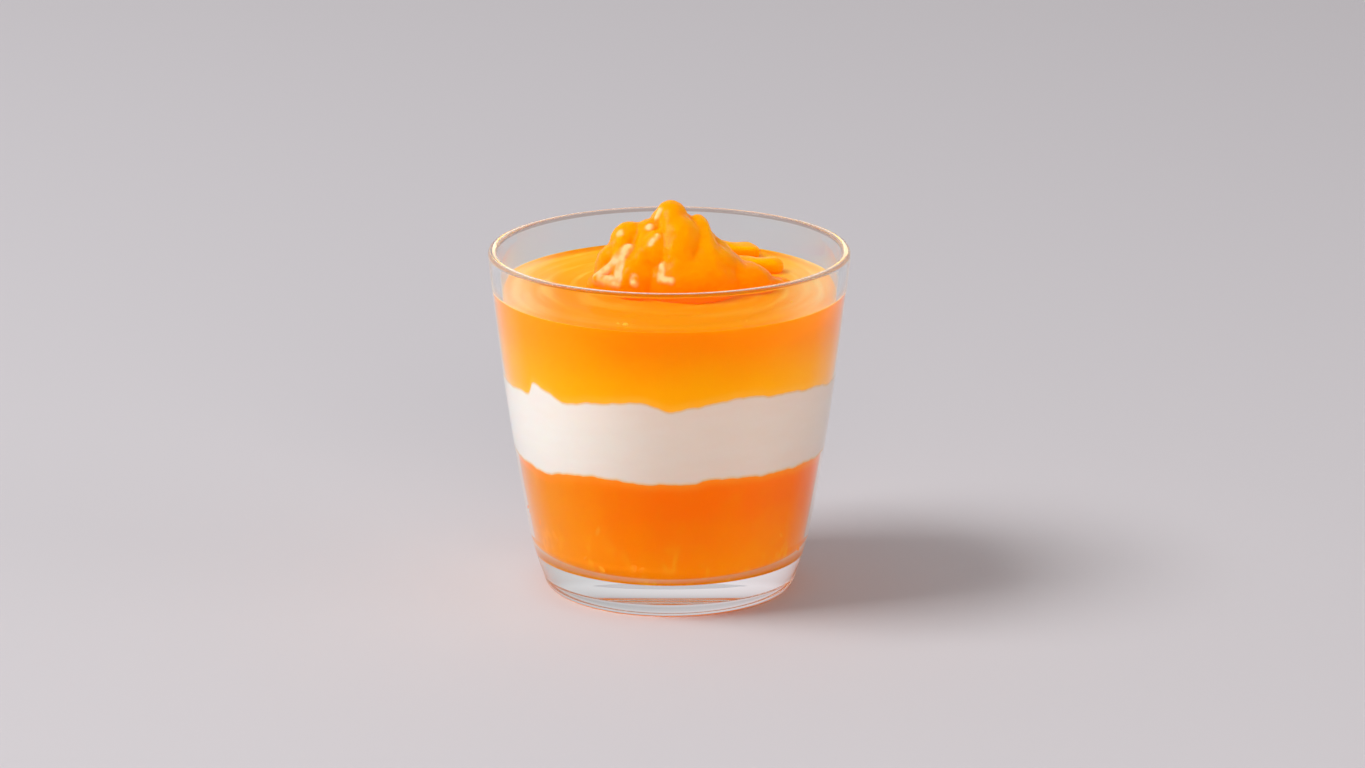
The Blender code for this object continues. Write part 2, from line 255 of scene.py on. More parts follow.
@dataclass(frozen=True)
class SetJelly:
    """Gelatine set with orange juice, poured against the glass: even, deep and clouded with pulp.

    The colour runs from a pale shade at one height to a deep one at another, and
    shifts to painted light on the softbox's side; near the cream it is paler, painted
    light of the cream shining through.  Wisps of pulp hang in it, most of them low.
    It also glows in its own colour: painted light, as it is no lamp.  The trace of
    air between jelly and wall mirrors at a flat angle, with pale painted light added
    there that keeps the edge of the wall pale, but jelly that has crept into a corner
    sticks to the glass.  A little orange light falls through it onto the table.
    """

    name: str
    pale: str
    deep: str
    # Paler colour near the cream: painted light of the cream shining through the jelly.
    painted_cream_light: str
    pale_height: float
    deep_height: float
    # How far from the cream that painted light reaches; the subsurface scattering also shortens within it.
    seam_reach: float = 2.2 * MM
    cloud_size: float = 10.0 * MM
    cloud_share: float = 0.22
    # Emission in the jelly's own colour: painted light, as it is no lamp.
    painted_glow: float = 0.25
    depth: float = 1.2 * MM
    # Colour on the softbox's side: painted light.
    lit: str = "#ffa800"
    lit_share: float = 0.4
    lit_reach: float = 30.0 * MM
    wisp: str = "#ffa21a"
    wisp_size: float = 3.2 * MM
    wisp_range: Point = (0.52, 0.68)
    wisp_share: float = 0.0
    wisp_bottom: float = 11.0 * MM
    wisp_top: float = 20.0 * MM
    wisp_least: float = 0.12
    film_ior: float = 0.69
    film_least: float = 0.08
    film_roughness: float = 0.3
    # A pale emission in the film at a flat angle: painted light that keeps the edge of the wall pale.
    painted_edge_light: str = "#ffe4da"
    painted_edge_light_strength: float = 0.2
    film_none: float = 8.4 * MM
    film_full: float = 11.0 * MM
    light_low: str = "#ff7a40"
    light_high: str = "#5a1c0c"

    def colour(
        self, tree: bpy.types.NodeTree, height: bpy.types.NodeSocket, seam: bpy.types.NodeSocket,
    ) -> bpy.types.NodeSocket:
        """The jelly's colour, by height, side and distance from the cream, with painted light on the
        softbox's side and near the cream.

        Args:
            tree: The node tree to add to.
            height: The height of the point.
            seam: Its distance from the cream.

        Returns:
            The colour socket.
        """
        place = add_node(tree, "ShaderNodeTexCoord").outputs["Object"]
        across = add_node(tree, "ShaderNodeSeparateXYZ", inputs={0: place}).outputs["X"]
        cloud = add_node(tree, "ShaderNodeTexNoise", inputs={
            "Vector": place, "Scale": 1.0 / self.cloud_size, "Detail": 3.0, "Roughness": 0.55,
        }).outputs[0]
        upright = add_node(tree, "ShaderNodeMapping", inputs={
            "Vector": place, "Scale": (1.0, 1.0, 0.6),
        }).outputs[0]
        pulp = add_node(tree, "ShaderNodeTexNoise", inputs={
            "Vector": upright, "Scale": 1.0 / self.wisp_size, "Detail": 4.0, "Roughness": 0.6,
            "Distortion": 0.6,
        }).outputs[0]
        fade = add_node(tree, "ShaderNodeMapRange", SMOOTH, {
            "Value": height, "From Min": self.pale_height, "From Max": self.deep_height,
        }).outputs[0]
        centred = add_node(tree, "ShaderNodeMath", {"operation": "SUBTRACT"}, {0: cloud, 1: 0.5}).outputs[0]
        clouded = add_node(tree, "ShaderNodeMath", {"operation": "MULTIPLY_ADD", "use_clamp": True}, {
            0: centred, 1: self.cloud_share * 2.0, 2: fade,
        }).outputs[0]
        settled = add_node(tree, "ShaderNodeMapRange", SMOOTH, {
            "Value": height, "From Min": self.wisp_bottom, "From Max": self.wisp_top,
            "To Min": 1.0, "To Max": self.wisp_least,
        }).outputs[0]
        # Coats: clouded depth, painted light on the softbox's side, pulp, and painted light near the cream.
        return painted(
            tree, linear(self.pale),
            Coat(clouded, 0.0, 1.0, self.deep, settings=EVEN),
            Coat(across, 0.0, -self.lit_reach, self.lit, self.lit_share),
            Coat(pulp, *self.wisp_range, self.wisp, self.wisp_share, settled),
            # Paler near the cream: painted light.
            Coat(seam, self.seam_reach, 0.0, self.painted_cream_light),
        )

    def film_share(self, tree: bpy.types.NodeTree, height: bpy.types.NodeSocket) -> bpy.types.NodeSocket:
        """How much of the film of air, with its painted light, shows: at a flat angle, and above the corner
        it doesn't reach.

        Args:
            tree: The node tree to add to.
            height: The height of the point.

        Returns:
            The share, as a socket.
        """
        mirrored = add_node(tree, "ShaderNodeFresnel", inputs={"IOR": self.film_ior}).outputs[0]
        flat = add_node(tree, "ShaderNodeMapRange", inputs={
            "Value": mirrored, "From Min": self.film_least,
        }).outputs[0]
        loose = add_node(tree, "ShaderNodeMapRange", inputs={
            "Value": height, "From Min": self.film_none, "From Max": self.film_full,
        }).outputs[0]
        return add_node(tree, "ShaderNodeMath", TIMES, {0: flat, 1: loose}).outputs[0]

    def build(self) -> bpy.types.Material:
        """Build the material for one jelly."""
        material, tree = new_material(self.name)
        place = add_node(tree, "ShaderNodeTexCoord").outputs["Object"]
        height = add_node(tree, "ShaderNodeSeparateXYZ", inputs={0: place}).outputs["Z"]
        seam = add_node(tree, "ShaderNodeAttribute", {"attribute_name": SEAM}).outputs["Fac"]
        colour = self.colour(tree, height, seam)
        reach = add_node(tree, "ShaderNodeMapRange", inputs={
            "Value": seam, "From Max": self.seam_reach, "To Min": SKIN, "To Max": self.depth,
        }).outputs[0]
        # Its emission is painted light.
        jelly = add_node(tree, "ShaderNodeBsdfPrincipled", inputs={
            "Base Color": colour, "Roughness": 0.6, "IOR": JELLY_IOR, "Specular IOR Level": 0.0,
            "Subsurface Weight": 1.0, "Subsurface Radius": (1.0, 0.8, 0.5), "Subsurface Scale": reach,
            "Emission Color": colour, "Emission Strength": self.painted_glow,
        })
        gloss = add_node(tree, "ShaderNodeBsdfGlossy", inputs={"Roughness": self.film_roughness})
        # The film's emission is painted light.
        painted_edge_light = add_node(tree, "ShaderNodeEmission", inputs={
            "Color": linear(self.painted_edge_light), "Strength": self.painted_edge_light_strength,
        })
        film = add_node(tree, "ShaderNodeAddShader", inputs={0: gloss.outputs[0], 1: painted_edge_light.outputs[0]})
        filmed = add_node(tree, "ShaderNodeMixShader", inputs={
            0: self.film_share(tree, height), 1: jelly.outputs[0], 2: film.outputs[0],
        })
        deeper = Coat(height, self.pale_height, self.deep_height, self.light_high)
        passed = painted(tree, linear(self.light_low), deeper)
        return surfaced(material, filmed, passed)


@dataclass(frozen=True)
class WetJelly:
    """The open face of the jelly: wet and glossy, light passing far in, red furthest.

    The colour runs between two heights and yellows towards the back: painted light
    coming up through it.  Pale arcs follow the spoon's turns, most of them behind: a
    painted reflection.  A deeper ring where the jelly climbs the glass is painted shade,
    and paler patches towards both sides are a painted reflection.  Ridges are yellower,
    painted light let through, and folds deeper, painted shade; torn faces are paler, a
    painted highlight, besides catching the light.
    """

    name: str
    low: str
    high: str
    low_height: float
    high_height: float
    # Yellower towards the back: painted light.
    far: str = "#ffb414"
    painted_back_light_range: Point = (-12.0 * MM, 20.0 * MM)
    painted_back_light_share: float = 0.0
    # Pale arcs along the spoon's turns, most of them behind: painted reflection.
    painted_sheen_streak: str = "#ffc64e"
    painted_sheen_pitch: float = 3.2 * MM
    painted_sheen_range: Point = (0.5, 0.72)
    painted_sheen_back: Point = (-22.0 * MM, 8.0 * MM)
    painted_sheen_least: float = 0.2
    painted_sheen_share: float = 0.0
    # Deeper orange where the surface meets the glass: painted shade.
    ring: str = "#ff8200"
    painted_shade_ring_start: float = 50.0 * MM
    painted_shade_ring_width: float = 2.5 * MM
    # Paler patches towards both sides: painted reflection.
    side: str = "#fccb90"
    painted_side_sheen_range: Point = (22.0 * MM, 35.0 * MM)
    painted_side_sheen_patches: Point = (0.35, 0.6)
    painted_side_sheen_least: float = 0.45
    painted_side_sheen_share: float = 0.0
    # Deeper in folds, painted shade; yellower on ridges, painted light.
    painted_crease_shade: str = "#fa7a00"
    ridge: str = "#ffb000"
    painted_fold_share: float = 0.0
    # Paler on torn faces: painted highlight.
    painted_highlight: str = "#ffd09a"
    painted_highlight_share: float = 0.0
    # Emission in the face's own colour: painted light, as it is no lamp.
    painted_glow: float = 0.10
    depth: float = 5.0 * MM
    roughness: float = 0.10
    specular: float = 0.25

    def colour(self, tree: bpy.types.NodeTree) -> bpy.types.NodeSocket:
        """The face's colour, by place, fold and tear, with painted light, shade, reflection and highlight.

        Args:
            tree: The node tree to add to.

        Returns:
            The colour socket.
        """
        place = add_node(tree, "ShaderNodeTexCoord").outputs["Object"]
        axes = add_node(tree, "ShaderNodeSeparateXYZ", inputs={0: place}).outputs
        level_place = add_node(tree, "ShaderNodeCombineXYZ", inputs={0: axes["X"], 1: axes["Y"]}).outputs[0]
        radius = add_node(tree, "ShaderNodeVectorMath", {"operation": "LENGTH"}, {
            0: level_place,
        }).outputs["Value"]
        way = add_node(tree, "ShaderNodeVectorMath", {"operation": "NORMALIZE"}, {0: level_place}).outputs[0]
        turn = add_node(tree, "ShaderNodeSeparateXYZ", inputs={0: way}).outputs
        across = add_node(tree, "ShaderNodeMath", {"operation": "DIVIDE"}, {
            0: radius, 1: self.painted_sheen_pitch,
        }).outputs[0]
        polar = add_node(tree, "ShaderNodeCombineXYZ", inputs={
            0: across, 1: turn["X"], 2: turn["Y"],
        }).outputs[0]
        arcs = add_node(tree, "ShaderNodeTexNoise", inputs={
            "Vector": polar, "Scale": 1.0, "Detail": 3.0, "Roughness": 0.5, "Distortion": 0.3,
        }).outputs[0]
        behind = add_node(tree, "ShaderNodeMapRange", SMOOTH, {
            "Value": axes["Y"], "From Min": self.painted_sheen_back[0], "From Max": self.painted_sheen_back[1],
            "To Min": self.painted_sheen_least,
        }).outputs[0]
        uneven = add_node(tree, "ShaderNodeMapRange", inputs={
            "Value": arcs, "From Min": self.painted_side_sheen_patches[0], "From Max": self.painted_side_sheen_patches[1],
            "To Min": self.painted_side_sheen_least,
        }).outputs[0]
        aside = add_node(tree, "ShaderNodeMath", {"operation": "ABSOLUTE"}, {0: axes["X"]}).outputs[0]
        fold, torn = (
            add_node(tree, "ShaderNodeAttribute", {"attribute_name": name}).outputs["Fac"]
            for name in (FOLD, TORN)
        )
        return painted(
            tree, linear(self.low),
            Coat(axes["Z"], self.low_height, self.high_height, self.high),
            Coat(axes["Y"], *self.painted_back_light_range, self.far, self.painted_back_light_share),
            Coat(arcs, *self.painted_sheen_range, self.painted_sheen_streak, self.painted_sheen_share, behind),
            Coat(radius, self.painted_shade_ring_start, self.painted_shade_ring_start + self.painted_shade_ring_width, self.ring),
            Coat(aside, *self.painted_side_sheen_range, self.side, self.painted_side_sheen_share, uneven),
            Coat(fold, 0.0, -1.0, self.painted_crease_shade, self.painted_fold_share, settings=EVEN),
            Coat(fold, 0.0, 1.0, self.ridge, self.painted_fold_share, settings=EVEN),
            Coat(torn, 0.0, 1.0, self.painted_highlight, self.painted_highlight_share, settings=EVEN),
        )

    def build(self) -> bpy.types.Material:
        """Build the material for one open face."""
        material, tree = new_material(self.name)
        colour = self.colour(tree)
        # Its emission is painted light.
        return surfaced(material, add_node(tree, "ShaderNodeBsdfPrincipled", inputs={
            "Base Color": colour, "Roughness": self.roughness,
            "IOR": JELLY_IOR, "Specular IOR Level": self.specular,
            "Subsurface Weight": 1.0, "Subsurface Radius": (1.0, 0.5, 0.2), "Subsurface Scale": self.depth,
            "Emission Color": colour, "Emission Strength": self.painted_glow,
        }))


@dataclass(frozen=True)
class WhippedCream:
    """Cream whipped and smoothed with a spoon: warm white, satin, with faint smears.

    Juice has soaked into it for a millimetre where it touches the jelly.  The smears'
    warm tone also grows away from the softbox: painted light, the jelly's orange cast.
    """

    white: str = "#fcf6f3"
    # The tone of the smears, and painted light from the jelly away from the softbox.
    warm: str = "#f8e8df"
    soaked: str = "#f7cf95"
    soak_depth: float = 0.8 * MM
    smear_height: float = 2.2 * MM
    smear_share: float = 0.5
    painted_jelly_light_start: float = -32.0 * MM
    painted_jelly_light_end: float = 4.0 * MM
    painted_jelly_light_least: float = 0.1
    painted_jelly_light_most: float = 0.9
    depth: float = 3.0 * MM

    def build(self) -> bpy.types.Material:
        """Build the material."""
        material, tree = new_material("whipped_cream")
        place = add_node(tree, "ShaderNodeTexCoord").outputs["Object"]
        stretched = add_node(tree, "ShaderNodeMapping", inputs={
            "Vector": place, "Scale": (0.25, 0.25, 1.0),
        }).outputs[0]
        smear = add_node(tree, "ShaderNodeTexNoise", inputs={
            "Vector": stretched, "Scale": 1.0 / self.smear_height, "Detail": 4.0, "Roughness": 0.6,
        }).outputs[0]
        across = add_node(tree, "ShaderNodeSeparateXYZ", inputs={0: place}).outputs["X"]
        away = add_node(tree, "ShaderNodeMapRange", SMOOTH, {
            "Value": across, "From Min": self.painted_jelly_light_start, "From Max": self.painted_jelly_light_end,
            "To Min": self.painted_jelly_light_least, "To Max": self.painted_jelly_light_most,
        }).outputs[0]
        centred = add_node(tree, "ShaderNodeMath", {"operation": "SUBTRACT"}, {0: smear, 1: 0.5}).outputs[0]
        smears_and_painted_light = add_node(tree, "ShaderNodeMath", {"operation": "MULTIPLY_ADD", "use_clamp": True}, {
            0: centred, 1: self.smear_share, 2: away,
        }).outputs[0]
        seam = add_node(tree, "ShaderNodeAttribute", {"attribute_name": SEAM}).outputs["Fac"]
        colour = painted(
            tree, linear(self.white),
            Coat(smears_and_painted_light, 0.0, 1.0, self.warm, settings=EVEN),
            Coat(seam, self.soak_depth, 0.0, self.soaked),
        )
        bump = add_node(tree, "ShaderNodeBump", inputs={
            "Height": smear, "Strength": 0.15, "Distance": 0.2 * MM,
        })
        reach = add_node(tree, "ShaderNodeMapRange", inputs={
            "Value": seam, "From Max": self.depth, "To Min": SKIN, "To Max": self.depth,
        }).outputs[0]
        return surfaced(material, add_node(tree, "ShaderNodeBsdfPrincipled", inputs={
            "Base Color": colour, "Roughness": 0.55, "IOR": 1.45, "Specular IOR Level": 0.2,
            "Subsurface Weight": 0.9, "Subsurface Radius": (1.0, 0.8, 0.7), "Subsurface Scale": reach,
            "Normal": bump.outputs[0],
        }))


@dataclass(frozen=True)
class PulpCell:
    """Orange pulp: small juice cells, paler and yellower than the jelly they hang in."""

    colour: str = "#ff9314"

    def build(self) -> bpy.types.Material:
        """Build the material."""
        material, tree = new_material("orange_pulp")
        return surfaced(material, add_node(tree, "ShaderNodeBsdfPrincipled", inputs={
            "Base Color": linear(self.colour), "Roughness": 0.5, "Specular IOR Level": 0.1,
            "Subsurface Weight": 1.0, "Subsurface Radius": (1.0, 0.8, 0.5), "Subsurface Scale": 0.5 * MM,
            # Emission: painted light, as the cells are no lamp.
            "Emission Color": linear(self.colour), "Emission Strength": 0.25,
        }))


@dataclass(frozen=True)
class StudioPaper:
    """Matte seamless paper under the glass: plain, pale, faintly lavender."""

    colour: str = "#cfcfd4"

    def build(self) -> bpy.types.Material:
        """Build the material."""
        material, tree = new_material("studio_paper")
        return surfaced(material, add_node(tree, "ShaderNodeBsdfPrincipled", inputs={
            "Base Color": linear(self.colour), "Roughness": 0.9, "Specular IOR Level": 0.1,
        }))


# ---------------------------------------------------------------- shared geometry


def blend(start: float, end: float, position: float | np.ndarray) -> float | np.ndarray:
    """Ease from 0 at start to 1 at end, for a number or an array."""
    part = np.clip((position - start) / (end - start), 0.0, 1.0)
    return part * part * (3.0 - 2.0 * part)


def curve_points(curve: Curve, steps: int) -> list[Point]:
    """Points along a three-point curve, without its last one.

    Args:
        curve: Three (radius, height) points.
        steps: How many points to give.

    Returns:
        The points.
    """
    parts = [step / steps for step in range(steps)]
    weights = [((1.0 - part) ** 2, 2.0 * part * (1.0 - part), part * part) for part in parts]
    return [
        tuple(sum(w * point[axis] for w, point in zip(row, curve)) for axis in (0, 1)) for row in weights
    ]


def curve_radius(curve: Curve, height: np.ndarray) -> np.ndarray:
    """Radius of a rising three-point curve at each height.

    Args:
        curve: Three (radius, height) points.
        height: Heights within the curve's own.

    Returns:
        The radius at each height.
    """
    (start, low), (bend, middle), (end, high) = curve
    square = low - 2.0 * middle + high
    slope = 2.0 * (middle - low)
    root = np.sqrt(np.maximum(slope * slope - 4.0 * square * (low - height), 0.0))
    part = (root - slope) / (2.0 * square)
    return (1.0 - part) ** 2 * start + 2.0 * part * (1.0 - part) * bend + part * part * end


def linked(name: str, data: bpy.types.ID) -> bpy.types.Object:
    """Link a mesh, light or camera to the scene as an object at the origin.

    Args:
        name: The object's name.
        data: What it shows.

    Returns:
        The new object.
    """
    item = bpy.data.objects.new(name, data)
    bpy.context.scene.collection.objects.link(item)
    return item


def points_and_normals(mesh: bpy.types.Mesh) -> tuple[np.ndarray, np.ndarray]:
    """Read a mesh's points and their normals.

    Args:
        mesh: The mesh.

    Returns:
        The points and the normals, each a row of three numbers.
    """
    points, normals = np.empty(len(mesh.vertices) * 3), np.empty(len(mesh.vertices) * 3)
    mesh.vertices.foreach_get("co", points)
    mesh.vertex_normals.foreach_get("vector", normals)
    return points.reshape(-1, 3), normals.reshape(-1, 3)


def move_points(mesh: bpy.types.Mesh, points: np.ndarray) -> None:
    """Move a mesh's points."""
    mesh.vertices.foreach_set("co", points.ravel())
    mesh.update()


def mark_points(mesh: bpy.types.Mesh, name: str, values: np.ndarray) -> None:
    """Record a number for each of a mesh's points."""
    mesh.attributes.new(name, "FLOAT", "POINT").data.foreach_set("value", values)


def finish_mesh(
    mesh: bpy.types.Mesh, name: str, materials: Sequence[bpy.types.Material],
) -> bpy.types.Object:
    """Shade a mesh smooth, dress it and link it as an object at the origin.

    Args:
        mesh: The mesh, in place.
        name: The piece's name.
        materials: Its materials, one for each slot.

    Returns:
        The new object.
    """
    for material in materials:
        mesh.materials.append(material)
    mesh.shade_smooth()
    mesh.set_sharp_from_angle(angle=SMOOTH_ANGLE)
    return linked(name, mesh)


def ring_mesh(name: str, rings: np.ndarray, slots: Sequence[int]) -> bpy.types.Mesh:
    """Join rings of points, with a pole below and a pole above, into a closed mesh.

    Args:
        name: The mesh's name.
        rings: Points as (ring, place round the ring, xyz); they run anticlockwise
            seen from above, from the middle of the underside round the outside.
        slots: The material slot of the faces above each ring.

    Returns:
        The mesh, with its faces outwards.
    """
    count, around, _ = rings.shape
    here = np.arange(around)
    after = np.roll(here, -1)
    quad = np.stack([here, after, after + around, here + around], 1)
    quads = [quad + row * around for row in range(count - 1)]
    below, above = count * around, count * around + 1
    bottom = np.stack([after, here, np.full(around, below)], 1)
    top = np.stack([here, after], 1) + (count - 1) * around
    top = np.concatenate([top, np.full((around, 1), above)], 1)
    points = np.concatenate([rings.reshape(-1, 3), rings[0].mean(0)[None], rings[-1].mean(0)[None]])
    faces = np.concatenate(quads).tolist() + bottom.tolist() + top.tolist()
    mesh = bpy.data.meshes.new(name)
    mesh.from_pydata(points.tolist(), [], faces)
    wear = [slots[row] for row in range(count - 1) for _ in range(around)]
    wear += [slots[0]] * around + [slots[-1]] * around
    mesh.polygons.foreach_set("material_index", wear)
    return mesh


def new_tree(name: str, values: dict[str, object]) -> tuple[bpy.types.NodeTree, object]:
    """Start a Geometry Nodes tree with named inputs for its sizes.

    Args:
        name: The tree's name.
        values: The sizes that it will be given; a whole number makes a whole-number input.

    Returns:
        The tree and its input sockets.
    """
    tree = bpy.data.node_groups.new(name, "GeometryNodeTree")
    for way in ("INPUT", "OUTPUT"):
        tree.interface.new_socket("Geometry", in_out=way, socket_type="NodeSocketGeometry")
    for key, value in values.items():
        kind = "NodeSocketInt" if isinstance(value, int) else "NodeSocketFloat"
        tree.interface.new_socket(key, in_out="INPUT", socket_type=kind)
    return tree, add_node(tree, "NodeGroupInput").outputs


def run_tree(piece: bpy.types.Object, tree: bpy.types.NodeTree, values: dict[str, object]) -> None:
    """Put a Geometry Nodes tree on a piece, with its sizes set by their sockets' identifiers.

    Args:
        piece: The piece.
        tree: The tree.
        values: Its sizes by name.
    """
    modifier = piece.modifiers.new(tree.name, "NODES")
    modifier.node_group = tree
    known = {item.name: item.identifier for item in tree.interface.items_tree if item.in_out == "INPUT"}
    for name, value in values.items():
        modifier[known[name]] = value


def soften(piece: bpy.types.Object, times: int) -> None:
    """Smooth a piece's creases a number of times.

    Args:
        piece: The piece.
        times: How many times.
    """
    modifier = piece.modifiers.new("soften", "SMOOTH")
    modifier.factor = 0.5
    modifier.iterations = times


def evaluated(piece: bpy.types.Object, name: str) -> bpy.types.Mesh:
    """Turn an object's live modifiers into a new plain mesh, and clear them.

    Args:
        piece: The object to evaluate.
        name: The name of the new mesh.

    Returns:
        The evaluated mesh.
    """
    graph = bpy.context.evaluated_depsgraph_get()
    graph.update()
    mesh = bpy.data.meshes.new_from_object(piece.evaluated_get(graph), depsgraph=graph)
    mesh.name = name
    piece.modifiers.clear()
    return mesh


def applied(source: bpy.types.Object, name: str) -> bpy.types.Mesh:
    """Turn an object's live modifiers into a new plain mesh, and remove the object.

    Args:
        source: The object to evaluate.
        name: The name of the new mesh.

    Returns:
        The evaluated mesh.
    """
    mesh = evaluated(source, name)
    bpy.data.objects.remove(source)
    return mesh


def as_mesh(shape: bmesh.types.BMesh, mesh: bpy.types.Mesh) -> bpy.types.Mesh:
    """Write a shape to a mesh, and free it.

    Args:
        shape: The shape.
        mesh: The mesh that takes it.

    Returns:
        The mesh.
    """
    shape.to_mesh(mesh)
    shape.free()
    return mesh


def keep(piece: bpy.types.Object, slot: str, *nodes: str) -> bpy.types.Object:
    """Ride a piece on the dessert's body, and hide the frame's nodes that it replaces.

    Args:
        piece: The finished piece.
        slot: Not used.
        nodes: The nodes that the piece replaces, if any.

    Returns:
        The piece.
    """
    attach(piece, BODY)
    if nodes:
        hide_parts(*nodes)
    LOG.info("%s: %d faces", piece.name, len(piece.data.polygons))
    return piece


# ---------------------------------------------------------------- the glass


@dataclass
class Tumbler:
    """A pressed tumbler with a thick base, turned from one outline; it stands on a narrow ring."""

    rim_radius: float
    height: float
    rim_wall: float = 2.0 * MM
    rim_squareness: float = 0.7
    rim_steps: int = 28
    rim_flat: float = 0.08 * MM
    rim_band: float = 0.75 * MM
    # A darker tint for the glass of the rim band: painted shade.
    rim_painted_shade: str = "#c2a99c"
    heel_wall: float = 2.4 * MM
    foot_radius: float = 26.2 * MM
    foot_bend: Point = (28.0 * MM, 0.2 * MM)
    heel_start: Point = (28.4 * MM, 3.0 * MM)
    heel_bend: Point = (29.9 * MM, 6.9 * MM)
    wall_start: Point = (31.2 * MM, 12.0 * MM)
    wall_bend: Point = (37.1 * MM, 44.5 * MM)
    inner_floor: float = 8.4 * MM
    inner_corner: float = 4.0 * MM
    punt: float = 0.15 * MM
    punt_edge: float = 24.4 * MM
    contact_start: float = 25.0 * MM
    segments: int = 256
    punt_marks: tuple[float, ...] = (0.02, 0.4, 0.8, 0.97)
    floor_marks: tuple[float, ...] = (0.8, 0.4, 0.02)
    edge_steps: int = 8
    bend_steps: int = 16
    wall_steps: int = 48

    @property
    def wall_top(self) -> float:
        """Height where the wall meets the rounded rim."""
        return self.height - self.rim_wall / 2.0

    @property
    def wall(self) -> Curve:
        """The outside of the wall."""
        return self.wall_start, self.wall_bend, (self.rim_radius, self.wall_top)

    @property
    def corner_top(self) -> float:
        """Height where the rounded inner corner meets the bore."""
        return self.inner_floor + self.inner_corner

    @property
    def floor_radius(self) -> float:
        """Radius of the flat of the inner floor."""
        return float(self.bore(np.array(self.corner_top))) - self.inner_corner

    def bore(self, height: np.ndarray) -> np.ndarray:
        """Inside radius above the rounded inner corner, at each height."""
        part = (height - self.wall_start[1]) / (self.wall_top - self.wall_start[1])
        return curve_radius(self.wall, height) - self.heel_wall - (self.rim_wall - self.heel_wall) * part

    def corner(self, reach: float, steps: int) -> list[Point]:
        """The rounded inner corner from the floor to the bore.

        Args:
            reach: How far outside the bore's own surface it runs.
            steps: How many stretches it is drawn with.

        Returns:
            Its (radius, height) points.
        """
        size = self.inner_corner + reach
        turns = [math.pi / 2.0 * step / steps for step in range(steps + 1)]
        return [
            (self.floor_radius + size * math.sin(turn), self.corner_top - size * math.cos(turn))
            for turn in turns
        ]

    def outline(self) -> list[Point]:
        """Outline from the foot round the rim to the inner floor."""
        foot = ((self.foot_radius, 0.0), self.foot_bend, self.heel_start)
        heel = (self.heel_start, self.heel_bend, self.wall_start)
        edge = ((self.punt_edge, self.punt), (self.contact_start, self.punt), (self.contact_start, 0.0))
        points = [(self.punt_edge * part, self.punt) for part in self.punt_marks]
        points += curve_points(edge, self.edge_steps) + [(self.contact_start, 0.0)]
        points += curve_points(foot, self.bend_steps) + curve_points(heel, self.bend_steps)
        points += curve_points(self.wall, self.wall_steps)
        round_off = self.rim_wall / 2.0
        for step in range(self.rim_steps + 1):
            turn = math.pi * step / self.rim_steps
            across = math.copysign(abs(math.cos(turn)) ** self.rim_squareness, math.cos(turn))
            radius = self.rim_radius - round_off + round_off * across
            points.append((radius, self.wall_top + round_off * math.sin(turn) ** self.rim_squareness))
        heights = np.linspace(self.wall_top, self.corner_top, self.wall_steps)[1:-1]
        points += list(zip(self.bore(heights).tolist(), heights.tolist()))
        points += self.corner(0.0, self.bend_steps)[::-1]
        return points + [(self.floor_radius * part, self.inner_floor) for part in self.floor_marks]

    def build(self) -> bpy.types.Object:
        """Turn the outline into the tumbler and dress it."""
        turns = np.linspace(0.0, 2.0 * math.pi, self.segments, endpoint=False)
        around = np.stack([np.cos(turns), np.sin(turns)], 1)
        outline = self.outline()
        rings = np.array([
            np.column_stack([around * radius, np.full(self.segments, height)]) for radius, height in outline
        ])
        slots = [int(self.rim_flat < self.height - height < self.rim_band) for _, height in outline]
        mesh = ring_mesh("tumbler", rings, slots)
        # The rim band's glass gets the darker tint: painted shade.
        glass = [PressedGlass().build(), PressedGlass("rim_painted_shade_glass", self.rim_painted_shade).build()]
        return keep(finish_mesh(mesh, "tumbler", glass), "clear_glass", "glass")


# ---------------------------------------------------------------- the fillings


@dataclass(frozen=True)
class WavyEdge:
    """Where two fillings meet: level inside, wandering where it meets the glass.

    The marks are (degrees round, millimetres above the mean); ripples are the
    finer wobbles a spoon leaves, as (how many go round, millimetres, phase).
    """

    mean: float
    marks: tuple[Point, ...]
    ripples: tuple[tuple[int, float, float], ...] = (
        (23, 0.10, 0.4), (41, 0.08, 2.1), (67, 0.06, 4.0), (113, 0.04, 1.2),
    )
    fade_start: float = 0.55

    def height(self, reach: float | np.ndarray, degrees: np.ndarray) -> np.ndarray:
        """Height at a reach from 0 in the middle to 1 at the glass, for angles round.

        Args:
            reach: How far out, from 0 to 1.
            degrees: Angles round from the front.

        Returns:
            The height at each angle.
        """
        places = np.array([mark[0] for mark in self.marks], float)
        rises = np.array([mark[1] for mark in self.marks], float)
        places = np.concatenate([[places[-1] - 360.0], places, [places[0] + 360.0]])
        rises = np.concatenate([[rises[-1]], rises, [rises[0]]])
        turn = (degrees + 180.0) % 360.0 - 180.0
        index = np.clip(np.searchsorted(places, turn, side="right") - 1, 0, len(places) - 2)
        part = blend(0.0, 1.0, (turn - places[index]) / (places[index + 1] - places[index]))
        rise = rises[index] + (rises[index + 1] - rises[index]) * part
        for count, size, phase in self.ripples:
            rise = rise + size * np.cos(np.radians(turn) * count + phase)
        return self.mean + rise * MM * blend(self.fade_start, 1.0, reach)


